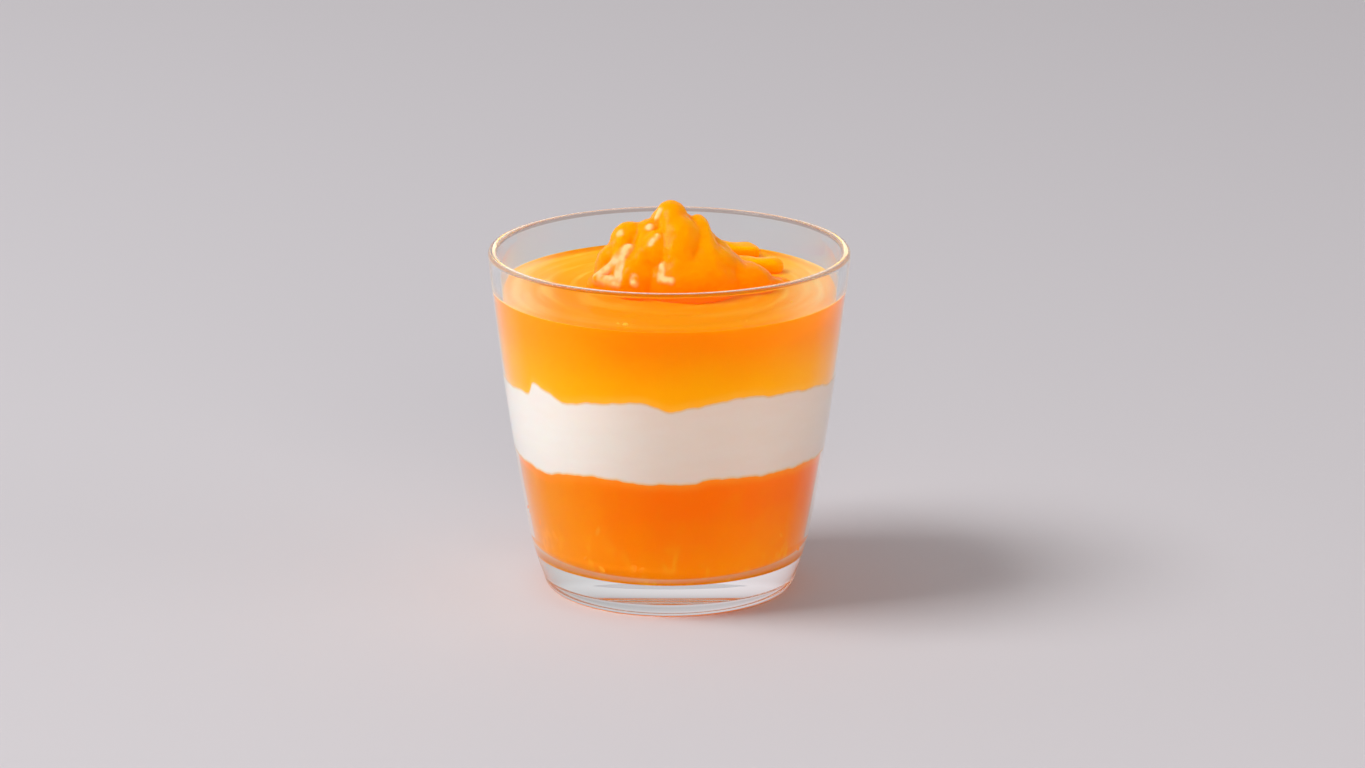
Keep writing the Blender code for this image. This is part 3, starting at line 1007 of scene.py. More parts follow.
CREAM_BOTTOM = WavyEdge(32.6 * MM, (
    (-130, -0.4), (-100, 0.3), (-73, -0.6), (-52, -1.4), (-40, 0.0), (-27, 0.5), (-10, -0.2),
    (6, -0.2), (18, 0.7), (38, 0.1), (56, 0.0), (75, -0.3), (110, 0.5), (150, -0.3), (180, 0.2),
))
CREAM_TOP = WavyEdge(50.8 * MM, (
    (-150, -0.6), (-120, 0.5), (-95, -0.4), (-74, -1.5), (-58, -1.4), (-54, 1.8), (-46, 0.2),
    (-39, -1.2), (-24, 0.1), (-9, 0.9), (0, -1.2), (9, -0.1), (25, 1.3), (43, 0.5), (61, -0.3),
    (75, -1.6), (100, -0.5), (130, 0.8), (155, -0.4), (180, 0.3),
))
SURFACE = 68.2 * MM
SURFACE_LEAN = 0.0135
SURFACE_RADIUS = 37.0 * MM


def level(height: float) -> Boundary:
    """A flat boundary at one height."""
    return lambda reach, degrees: np.full_like(degrees, height)


def leaning(height: float, lean: float, radius: float) -> Boundary:
    """A flat boundary that rises towards the back."""
    return lambda reach, degrees: height - lean * radius * reach * np.cos(np.radians(degrees))


@dataclass
class Filling:
    """One layer in the glass, drawn from its lower to its upper boundary.

    Its side reaches just into the wall, so no air shows between them.
    """

    name: str
    node: str
    slot: str
    tumbler: Tumbler
    low: Boundary
    high: Boundary
    materials: list[bpy.types.Material]
    on_floor: bool = False
    open_top: bool = False
    into_wall: float = 0.5 * MM
    meniscus: float = 0.0
    around: int = 288
    side_rings: int = 60
    face_rings: int = 36
    seam: float = 0.12 * MM
    crowding: float = 0.8
    held_from: float = 0.93
    creep: float = 1.3 * MM
    corner_steps: int = 14
    floor_marks: tuple[float, ...] = (0.03, 0.35, 0.7)

    def spread(self, degrees: np.ndarray, radius: np.ndarray | float, height: np.ndarray) -> np.ndarray:
        """Points at angles round from the front, a radius and a height."""
        turn = np.radians(degrees)
        return np.stack([radius * np.sin(turn), -radius * np.cos(turn), height], 1)

    def face(self, edge: Boundary, degrees: np.ndarray, lift: float) -> list[np.ndarray]:
        """Rings of one face, from the middle to just short of the glass.

        Args:
            edge: The boundary that the face follows.
            degrees: Angles round.
            lift: How far the face draws back from the boundary away from the glass.

        Returns:
            The rings of points.
        """
        rim = self.tumbler.bore(edge(1.0, degrees)) + self.into_wall
        rings = []
        for step in range(1, self.face_rings):
            reach = (step / self.face_rings) ** self.crowding
            radius = rim * reach
            drawn = lift * (1.0 - blend(self.held_from, 1.0, reach))
            climb = self.meniscus * np.exp(-(rim - radius) / self.creep) if lift == 0.0 else 0.0
            rings.append(self.spread(degrees, radius, edge(reach, degrees) + drawn + climb))
        return rings

    def seam_distance(self, points: np.ndarray) -> np.ndarray:
        """How far each point lies above or below the nearest cream boundary.

        Args:
            points: The mesh's points.

        Returns:
            The distance for each point.
        """
        radius = np.hypot(points[:, 0], points[:, 1])
        degrees = np.degrees(np.arctan2(points[:, 0], -points[:, 1]))
        reach = np.clip(radius / (self.tumbler.bore(points[:, 2]) + self.into_wall), 0.0, 1.0)
        away = [np.abs(points[:, 2] - edge.height(reach, degrees)) for edge in (CREAM_BOTTOM, CREAM_TOP)]
        return np.minimum(*away)

    def rings(self) -> tuple[np.ndarray, list[int]]:
        """All rings of the filling and the slot of the faces above each."""
        degrees = np.linspace(0.0, 360.0, self.around, endpoint=False)
        if self.on_floor:
            corner = self.tumbler.corner(self.into_wall, self.corner_steps)
            flat = [(corner[0][0] * part, corner[0][1]) for part in self.floor_marks]
            under = [self.spread(degrees, radius, np.full_like(degrees, z)) for radius, z in flat + corner]
            low = np.full_like(degrees, self.tumbler.corner_top)
        else:
            under = self.face(self.low, degrees, self.seam)
            low = self.low(1.0, degrees)
        high = self.high(1.0, degrees) + self.meniscus
        side = []
        for step in range(1 if self.on_floor else 0, self.side_rings + 1):
            height = low + (high - low) * step / self.side_rings
            side.append(self.spread(degrees, self.tumbler.bore(height) + self.into_wall, height))
        top = self.face(self.high, degrees, 0.0 if self.open_top else -self.seam)[::-1]
        upper = JellySide.OPEN if self.open_top else JellySide.AGAINST_GLASS
        slots = [int(JellySide.AGAINST_GLASS)] * (len(under) + len(side) - 1) + [int(upper)] * (len(top) + 1)
        return np.array(under + side + top), slots

    def build(self) -> bpy.types.Object:
        """Build the filling as one closed piece."""
        rings, slots = self.rings()
        mesh = ring_mesh(self.name, rings, slots)
        mark_points(mesh, SEAM, self.seam_distance(points_and_normals(mesh)[0]))
        return keep(finish_mesh(mesh, self.name, self.materials), self.slot, self.node)


@dataclass
class SwirledSurface:
    """Shallow swirls that a spoon left in the open surface, dying out at the glass and the heap."""

    depth: float = 0.09 * MM
    pitch: float = 8.0 * MM
    edge: float = 36.6 * MM
    lowest: float = 66.0 * MM
    seats: tuple[tuple[float, float, float, float], ...] = (
        (4.0 * MM, 0.0, 25.0 * MM, 17.0 * MM),
        (15.0 * MM, 20.5 * MM, 14.0 * MM, 12.5 * MM),
    )

    fade: float = 1.3

    def steps(self) -> list[tuple[object, ...]]:
        """The sums that give the lift, in order, as (result, operation, what it works on)."""
        steps = [
            ("x2", "POWER", "x", 2.0),
            ("y2", "POWER", "y", 2.0),
            ("r2", "ADD", "x2", "y2"),
            ("radius", "SQRT", "r2"),
            ("turn", "ARCTAN2", "y", "x"),
            ("turns", "DIVIDE", "turn", 2.0 * math.pi),
            ("coils", "DIVIDE", "radius", "Pitch"),
            ("spiral", "ADD", "coils", "turns"),
            ("phase", "MULTIPLY", "spiral", 2.0 * math.pi),
            ("wave", "COSINE", "phase"),
            ("lift", "MULTIPLY", "wave", "Depth"),
        ]
        for middle_x, middle_y, half_x, half_y in self.seats:
            steps += [
                ("dx", "SUBTRACT", "x", middle_x),
                ("across", "DIVIDE", "dx", half_x),
                ("dy", "SUBTRACT", "y", middle_y),
                ("along", "DIVIDE", "dy", half_y),
                ("across2", "POWER", "across", 2.0),
                ("along2", "POWER", "along", 2.0),
                ("away2", "ADD", "across2", "along2"),
                ("away", "SQRT", "away2"),
                ("held", "EASE", "away", 1.0, self.fade),
                ("lift", "MULTIPLY", "lift", "held"),
            ]
        return steps + [
            ("third", "DIVIDE", "Pitch", 3.0),
            ("inner", "SUBTRACT", "Edge", "third"),
            ("held", "EASE", "radius", "Edge", "inner"),
            ("lift", "MULTIPLY", "lift", "held"),
            ("open", "GREATER_THAN", "z", "Lowest"),
        ]

    def tree(self, sizes: dict[str, object]) -> bpy.types.NodeTree:
        """Build the Geometry Nodes tree that lifts points of the surface into swirls.

        Args:
            sizes: The tree's sizes by name.

        Returns:
            The tree.
        """
        tree, given = new_tree("swirled_surface", sizes)
        place = add_node(tree, "GeometryNodeInputPosition").outputs[0]
        axes = add_node(tree, "ShaderNodeSeparateXYZ", inputs={0: place}).outputs
        found = {"x": axes[0], "y": axes[1], "z": axes[2], **{name: given[name] for name in sizes}}
        for result, operation, *names in self.steps():
            values = [found.get(name, name) for name in names]
            if operation == "EASE":
                sockets = dict(zip(("Value", "From Min", "From Max"), values))
                node = add_node(tree, "ShaderNodeMapRange", SMOOTH, sockets)
            else:
                node = add_node(tree, "ShaderNodeMath", {"operation": operation}, dict(enumerate(values)))
            found[result] = node.outputs[0]
        offset = add_node(tree, "ShaderNodeCombineXYZ", inputs={2: found["lift"]}).outputs[0]
        moved = add_node(tree, "GeometryNodeSetPosition", inputs={
            "Geometry": given["Geometry"], "Selection": found["open"], "Offset": offset,
        })
        add_node(tree, "NodeGroupOutput", inputs={0: moved.outputs[0]})
        return tree

    def carve(self, piece: bpy.types.Object) -> None:
        """Swirl the top of a filling, in its own mesh.

        Args:
            piece: The filling.
        """
        sizes = {"Depth": self.depth, "Pitch": self.pitch, "Edge": self.edge, "Lowest": self.lowest}
        run_tree(piece, self.tree(sizes), sizes)
        piece.data = evaluated(piece, piece.name)


# ---------------------------------------------------------------- broken jelly


class Lump(NamedTuple):
    """A soft lump of jelly: its centre and half sizes in millimetres."""

    centre: Place
    half_sizes: Place


class Fold(NamedTuple):
    """A soft rope of jelly through places in millimetres, with its radius at each."""

    places: tuple[Place, ...]
    radii: tuple[float, ...]


class Stroke(NamedTuple):
    """A fold from one place to another, in millimetres: it rises, or sinks if negative."""

    start: Place
    end: Place
    radius: float
    rise: float


class Tear(NamedTuple):
    """A flat, shiny face that the spoon tore, along places in millimetres, turned up to the left."""

    places: tuple[Place, ...]
    half_width: float
    proud: float


@dataclass
class Heap:
    """Broken jelly spooned onto the surface: lumps melted into one another."""

    material: bpy.types.Material
    lumps: tuple[Lump, ...] = (
        Lump((0.0, 1.0, 69.5), (15.0, 12.0, 10.0)),
        Lump((0.3, 1.0, 82.3), (3.9, 4.3, 5.2)),
        Lump((2.4, -2.4, 76.6), (5.2, 6.6, 8.2)),
        Lump((6.2, 2.2, 77.9), (3.3, 4.2, 6.0)),
        Lump((-8.6, 1.2, 77.4), (4.6, 4.6, 5.1)),
        Lump((-4.2, 0.6, 78.5), (4.2, 4.5, 4.9)),
        Lump((-12.0, -1.2, 72.0), (4.4, 6.4, 6.4)),
        Lump((-12.6, -3.0, 68.6), (5.8, 6.4, 4.2)),
        Lump((-7.5, -7.6, 71.2), (5.4, 5.2, 5.4)),
        Lump((4.0, -6.5, 70.5), (11.4, 8.0, 6.6)),
        Lump((7.0, -3.6, 72.4), (8.8, 7.2, 6.6)),
        Lump((-2.8, -4.2, 74.6), (4.6, 5.2, 7.4)),
        Lump((14.5, -2.5, 70.0), (8.4, 6.6, 4.4)),
        Lump((10.6, -0.5, 70.0), (7.0, 7.6, 6.8)),
        Lump((16.5, -1.0, 68.2), (9.0, 6.4, 3.2)),
        Lump((20.4, 1.6, 68.4), (6.8, 3.6, 1.5)),
    )
    folds: tuple[Fold, ...] = (
        Fold(((0.4, -0.6, 84.0), (1.4, -5.4, 78.2), (2.2, -9.0, 71.5)), (2.8, 3.8, 4.8)),
        Fold(((-4.8, -0.5, 80.6), (-6.0, -5.4, 76.0), (-7.0, -9.0, 70.8)), (2.3, 3.2, 3.9)),
        Fold(((-9.6, -0.6, 79.2), (-10.8, -5.2, 75.2), (-11.6, -8.0, 70.6)), (2.2, 2.6, 2.8)),
        Fold(((-12.6, -1.5, 75.5), (-14.2, -4.5, 72.0), (-15.8, -5.6, 69.6)), (2.0, 2.0, 1.8)),
        Fold(((6.6, 0.4, 81.0), (7.8, -4.6, 76.4), (9.4, -8.6, 71.5)), (2.4, 3.6, 4.2)),
        Fold(((9.8, 1.0, 76.0), (13.0, -3.6, 73.2), (17.0, -6.0, 69.8)), (3.0, 3.2, 2.8)),
        Fold(((11.5, 1.0, 73.4), (17.5, -2.6, 70.2), (24.0, -1.4, 68.4)), (3.0, 2.6, 1.6)),
        Fold(((10.5, 5.0, 73.0), (13.5, 7.0, 70.4), (18.0, 8.0, 68.4)), (2.8, 2.4, 1.6)),
        Fold(((-2.0, 3.0, 83.0), (-5.0, 8.0, 76.0), (-7.0, 10.5, 70.0)), (2.0, 2.4, 2.8)),
        Fold(((3.0, 3.5, 82.0), (4.0, 8.5, 75.0), (4.0, 11.0, 70.0)), (2.2, 2.6, 3.0)),
        Fold(((8.0, 4.0, 78.0), (12.0, 6.5, 73.0), (15.0, 6.5, 69.6)), (2.2, 2.2, 2.0)),
        Fold(((-9.0, 3.0, 78.0), (-12.0, 6.0, 73.0), (-13.5, 6.0, 69.8)), (2.0, 2.2, 2.0)),
    )
    fold_steps: int = 14
    strokes: tuple[Stroke, ...] = (
        Stroke((4.8, -3.6, 84.0), (5.8, -8.0, 78.5), 1.5, -0.15),
        Stroke((-7.6, -3.0, 81.0), (-8.4, -6.0, 76.0), 1.2, -0.5),
        Stroke((-13.0, -6.0, 74.6), (-12.8, -7.4, 73.2), 1.5, -1.2),
    )
    # Each tear is turned to catch the softbox; the material also paints a highlight on it.
    tears: tuple[Tear, ...] = (
        Tear(((-2.0, -6.0, 87.1), (-2.8, -6.0, 85.5)), 0.7, 0.3),
        Tear(((-4.4, -6.0, 83.3),), 0.9, 0.35),
        Tear(((-2.8, -6.0, 81.3), (-3.9, -6.0, 79.4)), 0.7, 0.15),
        Tear(((-10.9, -6.0, 81.9),), 0.9, 0.15),
        Tear((
            (-9.1, -6.0, 78.8), (-10.5, -6.0, 76.4), (-10.8, -6.0, 73.4), (-11.2, -6.0, 70.6),
            (-16.2, -6.0, 72.0), (-10.5, -6.0, 76.4),
        ), 1.15, 0.4),
        Tear(((-7.7, -6.0, 71.6), (-7.8, -6.0, 70.6)), 0.8, 0.3),
        Tear(((-1.5, -6.0, 74.4), (-1.8, -6.0, 71.2), (0.3, -6.0, 70.9)), 0.8, 0.35),
    )
    tear_facing: Place = (-0.387, -0.666, 0.638)
    tear_inward: Place = (0.0, 0.963, -0.269)
    tear_hold: float = 4.0 * MM
    voxel: float = 0.27 * MM
    smoothing: int = 34
    swell: float = 0.12 * MM
    wobble: float = 0.22 * MM
    wobble_size: float = 3.6 * MM
    ripple: float = 0.4
    ripple_rate: float = 3.1
    patch_size: float = 1.3 * MM
    patch_least: float = 0.02
    patch_mean: float = 0.85
    patch_swing: float = 1.1
    cast_from: float = 0.04
    sunk: float = 0.8 * MM
    fold_height: float = 0.35 * MM
    fold_smoothing: int = 90

    def melted(self) -> bpy.types.Mesh:
        """Join the lumps into one skin and soften the creases between them."""
        shape = bmesh.new()
        for lump in self.lumps:
            size = Matrix.Diagonal((*(Vector(lump.half_sizes) * MM), 1.0))
            place = Matrix.Translation(Vector(lump.centre) * MM) @ size
            bmesh.ops.create_uvsphere(shape, u_segments=64, v_segments=32, radius=1.0, matrix=place)
        for fold in self.folds:
            stations = np.linspace(0.0, len(fold.places) - 1.0, self.fold_steps)
            marks = np.arange(len(fold.places))
            places = np.stack([np.interp(stations, marks, axis) for axis in zip(*fold.places)], 1)
            for place, radius in zip(places, np.interp(stations, marks, fold.radii)):
                matrix = Matrix.Translation(Vector(place) * MM)
                bmesh.ops.create_icosphere(shape, subdivisions=3, radius=radius * MM, matrix=matrix)
        source = linked("lumps", as_mesh(shape, bpy.data.meshes.new("lumps")))
        skin = source.modifiers.new("skin", "REMESH")
        skin.mode = "VOXEL"
        skin.voxel_size = self.voxel
        soften(source, self.smoothing)
        return applied(source, "broken_jelly_heap")

    def shaped(self, mesh: bpy.types.Mesh) -> None:
        """Raise the folds and add the wobble of torn jelly.

        Args:
            mesh: The heap's mesh.
        """
        points, normals = points_and_normals(mesh)
        push = np.full(len(points), self.swell)
        for stroke in self.strokes:
            start, end = np.array(stroke.start) * MM, np.array(stroke.end) * MM
            along = end - start
            part = np.clip((points - start) @ along / (along @ along), 0.0, 1.0)
            away = np.linalg.norm(points - start - part[:, None] * along, axis=1) / (stroke.radius * MM)
            push += stroke.rise * MM * np.exp(-away * away)
        for index, point in enumerate(points):
            place = Vector(point) / self.wobble_size
            finer = self.ripple * noise.noise(place * self.ripple_rate)
            push[index] += self.wobble * (noise.noise(place) + finer)
        points = points + normals * push[:, None]
        move_points(mesh, points)
        skin = BVHTree.FromPolygons(points.tolist(), [tuple(face.vertices) for face in mesh.polygons])
        # How far each point belongs to a tear face: where the painted highlight lies, broken into patches
        # below.
        painted_highlight = np.zeros(len(points))
        for tear in self.tears:
            points, hold = self.torn(points, self.on_skin(skin, tear), tear)
            painted_highlight = np.maximum(painted_highlight, hold)
        for index in np.flatnonzero(painted_highlight > self.patch_least):
            patch = noise.noise(Vector(points[index]) / self.patch_size)
            painted_highlight[index] *= self.patch_mean + self.patch_swing * patch
        move_points(mesh, points)
        mark_points(mesh, TORN, np.clip(painted_highlight, 0.0, 1.0))

    def on_skin(self, skin: BVHTree, tear: Tear) -> np.ndarray:
        """Find a tear's places on the skin, and bring them into one plane.

        Args:
            skin: The heap's skin.
            tear: The tear.

        Returns:
            Its places, in metres.
        """
        inward = Vector(self.tear_inward)
        facing = np.array(self.tear_facing)
        places = []
        for place in tear.places:
            start = Vector(place) * MM - inward * self.cast_from
            hit = skin.ray_cast(start, inward)[0]
            places.append(hit if hit is not None else Vector(place) * MM)
        found = np.array(places)
        heights = found @ facing
        shift = (heights.mean() - heights) / float(np.array(inward) @ facing)
        return found + shift[:, None] * np.array(inward)

    def torn(self, points: np.ndarray, places: np.ndarray, tear: Tear) -> tuple[np.ndarray, np.ndarray]:
        """Draw the skin near a tear's line into one flat face.

        Args:
            points: The skin's points.
            places: The tear's places.
            tear: The tear.

        Returns:
            The moved points, and how far each belongs to the face, from 0 to 1.
        """
        facing = np.array(self.tear_facing)
        ends = places[1:] if len(places) > 1 else places + TINY
        least = np.full(len(points), np.inf)
        above = np.zeros(len(points))
        for start, end in zip(places, ends):
            along = end - start
            part = np.clip((points - start) @ along / (along @ along), 0.0, 1.0)
            gap = points - start - part[:, None] * along
            height = gap @ facing
            aside = np.linalg.norm(gap - height[:, None] * facing, axis=1)
            nearer = aside < least
            least[nearer] = aside[nearer]
            above[nearer] = height[nearer]
        hold = np.exp(-(least / (tear.half_width * MM)) ** 4) * np.exp(-(above / self.tear_hold) ** 2)
        return points + facing * (hold * (tear.proud * MM - above))[:, None], hold

    def folded(self, mesh: bpy.types.Mesh) -> None:
        """Record how far each point stands out from the heap smoothed over: 1 on a ridge, -1 in a fold.

        Args:
            mesh: The heap's mesh.
        """
        source = linked("smoothed", mesh.copy())
        soften(source, self.fold_smoothing)
        smooth = applied(source, "smoothed")
        here, normals = points_and_normals(mesh)
        out = ((here - points_and_normals(smooth)[0]) * normals).sum(1)
        mark_points(mesh, FOLD, np.clip((out - np.median(out)) / self.fold_height, -1.0, 1.0))
        bpy.data.meshes.remove(smooth)

    def cut_off(self, mesh: bpy.types.Mesh) -> None:
        """Cut the heap off just below the surface that it lies on.

        Args:
            mesh: The heap's mesh.
        """
        shape = bmesh.new()
        shape.from_mesh(mesh)
        normal = Vector((0.0, -SURFACE_LEAN, 1.0)).normalized()
        cut = bmesh.ops.bisect_plane(
            shape, geom=shape.verts[:] + shape.edges[:] + shape.faces[:], dist=1e-7,
            plane_co=(0.0, 0.0, SURFACE - self.sunk), plane_no=normal, clear_inner=True,
        )
        rim = [part for part in cut["geom_cut"] if isinstance(part, bmesh.types.BMEdge)]
        bmesh.ops.contextual_create(shape, geom=rim)
        bmesh.ops.triangulate(shape, faces=[face for face in shape.faces if len(face.verts) > 4])
        bmesh.ops.recalc_face_normals(shape, faces=shape.faces)
        as_mesh(shape, mesh)

    def build(self) -> bpy.types.Object:
        """Build the heap as one piece."""
        mesh = self.melted()
        self.shaped(mesh)
        self.folded(mesh)
        self.cut_off(mesh)
        mesh.materials.clear()
        return keep(finish_mesh(mesh, "broken_jelly_heap", [self.material]), "broken_jelly", "jelly_mound")


@dataclass
class Strip:
    """A loose strip of torn jelly lying on the surface.

    Its centre line is in millimetres, its width and height in metres.
    """

    name: str
    node: str
    line: tuple[Point, ...]
    width: float
    height: float
    material: bpy.types.Material
    seed: float
    stations: int = 72
    sides: int = 48
    squareness: float = 0.8
    end_bluntness: int = 4
    wobble: float = 0.7 * MM
    wobble_size: float = 4.0 * MM
    settled: float = 0.1 * MM
    sunk: float = 0.5 * MM
    look: float = 0.05

    def middle(self, part: float) -> Vector:
        """Point part of the way along the centre line.

        Args:
            part: How far along, from 0 to 1.

        Returns:
            The point, in metres.
        """
        position = part * (len(self.line) - 1)
        index = min(int(position), len(self.line) - 2)
        start, end = Vector(self.line[index]), Vector(self.line[index + 1])
        return start.lerp(end, position - index) * MM

    def build(self) -> bpy.types.Object:
        """Loft rounded sections along the centre line and roughen them."""
        rings = []
        for station in range(self.stations):
            part = 0.5 - 0.5 * math.cos(math.pi * (station + 0.5) / self.stations)
            ahead, astern = min(part + self.look, 1.0), max(part - self.look, 0.0)
            along = (self.middle(ahead) - self.middle(astern)).normalized()
            end_round = math.sqrt(1.0 - abs(2.0 * part - 1.0) ** self.end_bluntness)
            centre = self.middle(part)
            turns = 2.0 * math.pi * (np.arange(self.sides) + 0.5) / self.sides
            across, rise = (
                np.sign(part) * np.abs(part) ** self.squareness * size / 2 * end_round
                for part, size in ((np.cos(turns), self.width), (np.sin(turns), self.height))
            )
            x = centre.x - along.y * across
            y = centre.y + along.x * across
            z = SURFACE + SURFACE_LEAN * y + self.height / 2 - self.settled + rise
            ring = np.stack([x, y, z], 1)
            seed = Vector((self.seed, 0.0, 0.0))
            shift = [noise.noise_vector(Vector(point) / self.wobble_size + seed) for point in ring]
            ring = ring + np.array(shift) * self.wobble
            ring[:, 2] -= self.sunk * (rise < 0.0)
            rings.append(ring)
        mesh = ring_mesh(self.name, np.array(rings), [0] * len(rings))
        shape = bmesh.new()
        shape.from_mesh(mesh)
        bmesh.ops.recalc_face_normals(shape, faces=shape.faces)
        as_mesh(shape, mesh)
        return keep(finish_mesh(mesh, self.name, [self.material]), "broken_jelly", self.node)


# ---------------------------------------------------------------- pulp


@dataclass
class Pulp:
    """Juice cells that settled in the lower jelly and show against the glass."""

    tumbler: Tumbler
    into_wall: float = 0.5 * MM
    lowest: float = 11.0 * MM
    highest: float = 30.0 * MM
    density: float = 14000.0
    seed: int = 11
    long: float = 1.3 * MM
    wide: float = 0.6 * MM
    proud: float = 0.06 * MM
    smallest: float = 0.35
    afloat: float = 0.08
    tilt: float = 1.2
    tilt_seed: int = 5
    rings: int = 24
    around: int = 96

    def wall(self) -> bpy.types.Object:
        """A band on the jelly's side that the cells lie on."""
        heights = np.linspace(self.lowest, self.highest, self.rings)
        safe = np.maximum(heights, self.tumbler.corner_top)
        radii = self.tumbler.bore(safe) + self.into_wall
        count = self.around
        turns = np.linspace(0.0, 2.0 * math.pi, count, endpoint=False)
        points = [(r * math.cos(t), r * math.sin(t), z) for r, z in zip(radii, heights) for t in turns]
        faces = [
            (row + i, row + (i + 1) % count, row + count + (i + 1) % count, row + count + i)
            for row in range(0, (self.rings - 1) * count, count) for i in range(count)
        ]
        mesh = bpy.data.meshes.new("pulp_band")
        mesh.from_pydata(points, [], faces)
        return linked("pulp_band", mesh)

    def tree(self, material: bpy.types.Material, sizes: dict[str, object]) -> bpy.types.NodeTree:
        """Build the Geometry Nodes tree that scatters the cells.

        Args:
            material: The cells' material.
            sizes: The tree's sizes by name.

        Returns:
            The tree.
        """
        tree, given = new_tree("pulp_cells", sizes)
        place = add_node(tree, "GeometryNodeInputPosition").outputs[0]
        height = add_node(tree, "ShaderNodeSeparateXYZ", inputs={0: place}).outputs[2]
        settled = add_node(tree, "ShaderNodeMapRange", SMOOTH, {
            "Value": height, "From Min": given["Highest"], "From Max": given["Lowest"],
            "To Min": self.afloat,
        }).outputs[0]
        density = add_node(tree, "ShaderNodeMath", TIMES, {0: settled, 1: given["Density"]}).outputs[0]
        points = add_node(tree, "GeometryNodeDistributePointsOnFaces", inputs={
            "Mesh": given["Geometry"], "Density": density, "Seed": given["Seed"],
        })
        cell = add_node(tree, "GeometryNodeMeshIcoSphere", inputs={"Radius": 1.0, "Subdivisions": 2})
        size = add_node(tree, "ShaderNodeCombineXYZ", inputs={
            0: given["Wide"], 1: given["Long"], 2: given["Proud"],
        }).outputs[0]
        draws = ((self.smallest, 1.0, given["Seed"]), (-self.tilt, self.tilt, self.tilt_seed))
        chance, spin = (
            add_node(tree, "FunctionNodeRandomValue", {"data_type": "FLOAT"}, {
                2: low, 3: high, "Seed": seed,
            }).outputs[1] for low, high, seed in draws
        )
        scale = add_node(tree, "ShaderNodeVectorMath", {"operation": "SCALE"}, {
            0: size, "Scale": chance,
        }).outputs[0]
        turned = add_node(tree, "FunctionNodeAxisAngleToRotation", inputs={
            "Axis": (0.0, 0.0, 1.0), "Angle": spin,
        })
        facing = add_node(tree, "FunctionNodeRotateRotation", {"rotation_space": "LOCAL"}, {
            "Rotation": points.outputs["Rotation"], "Rotate By": turned.outputs[0],
        })
        cells = add_node(tree, "GeometryNodeInstanceOnPoints", inputs={
            "Points": points.outputs["Points"], "Instance": cell.outputs[0],
            "Rotation": facing.outputs[0], "Scale": scale,
        })
        real = add_node(tree, "GeometryNodeRealizeInstances", inputs={0: cells.outputs[0]})
        dressed = add_node(tree, "GeometryNodeSetMaterial", inputs={
            "Geometry": real.outputs[0], "Material": material,
        })
        add_node(tree, "NodeGroupOutput", inputs={0: dressed.outputs[0]})
        return tree

    def build(self) -> bpy.types.Object:
        """Scatter the cells as one mesh."""
        material = PulpCell().build()
        band = self.wall()
        sizes = {
            "Density": self.density, "Long": self.long, "Wide": self.wide, "Proud": self.proud,
            "Lowest": self.lowest, "Highest": self.highest, "Seed": self.seed,
        }
        run_tree(band, self.tree(material, sizes), sizes)
        mesh = applied(band, "pulp_cells")
        mesh.materials.clear()
        return keep(finish_mesh(mesh, "pulp_cells", [material]), "lower_jelly")


@dataclass
class Bubbles:
    """Small bubbles that rose to the surface, by place across and back and radius, in millimetres."""

    material: bpy.types.Material
    places: tuple[Place, ...] = (
        (-9.2, -30.2, 0.75), (-10.8, -29.2, 0.35), (16.5, -27.5, 0.3), (26.5, -12.0, 0.3),
        (-26.0, -8.5, 0.3), (3.5, 31.5, 0.45),
    )
    sunk: float = 0.35

    def build(self) -> bpy.types.Object:
        """Set every bubble partly into the surface, as one mesh."""
        shape = bmesh.new()
        for across, back, radius in self.places:
            height = SURFACE / MM + SURFACE_LEAN * back - self.sunk * radius
            place = Matrix.Translation(Vector((across, back, height)) * MM)
            bmesh.ops.create_uvsphere(shape, u_segments=24, v_segments=14, radius=radius * MM, matrix=place)
        mesh = as_mesh(shape, bpy.data.meshes.new("surface_bubbles"))
        return keep(finish_mesh(mesh, "surface_bubbles", [self.material]), "upper_jelly")


# ---------------------------------------------------------------- the studio


class Lamp(NamedTuple):
    """An area light: distance, width and height in metres, watts, colour, and where it may be seen."""

    distance: float
    width: float
    height: float
    power: float
    colour: str
    mirrored: bool
    through_glass: bool = False


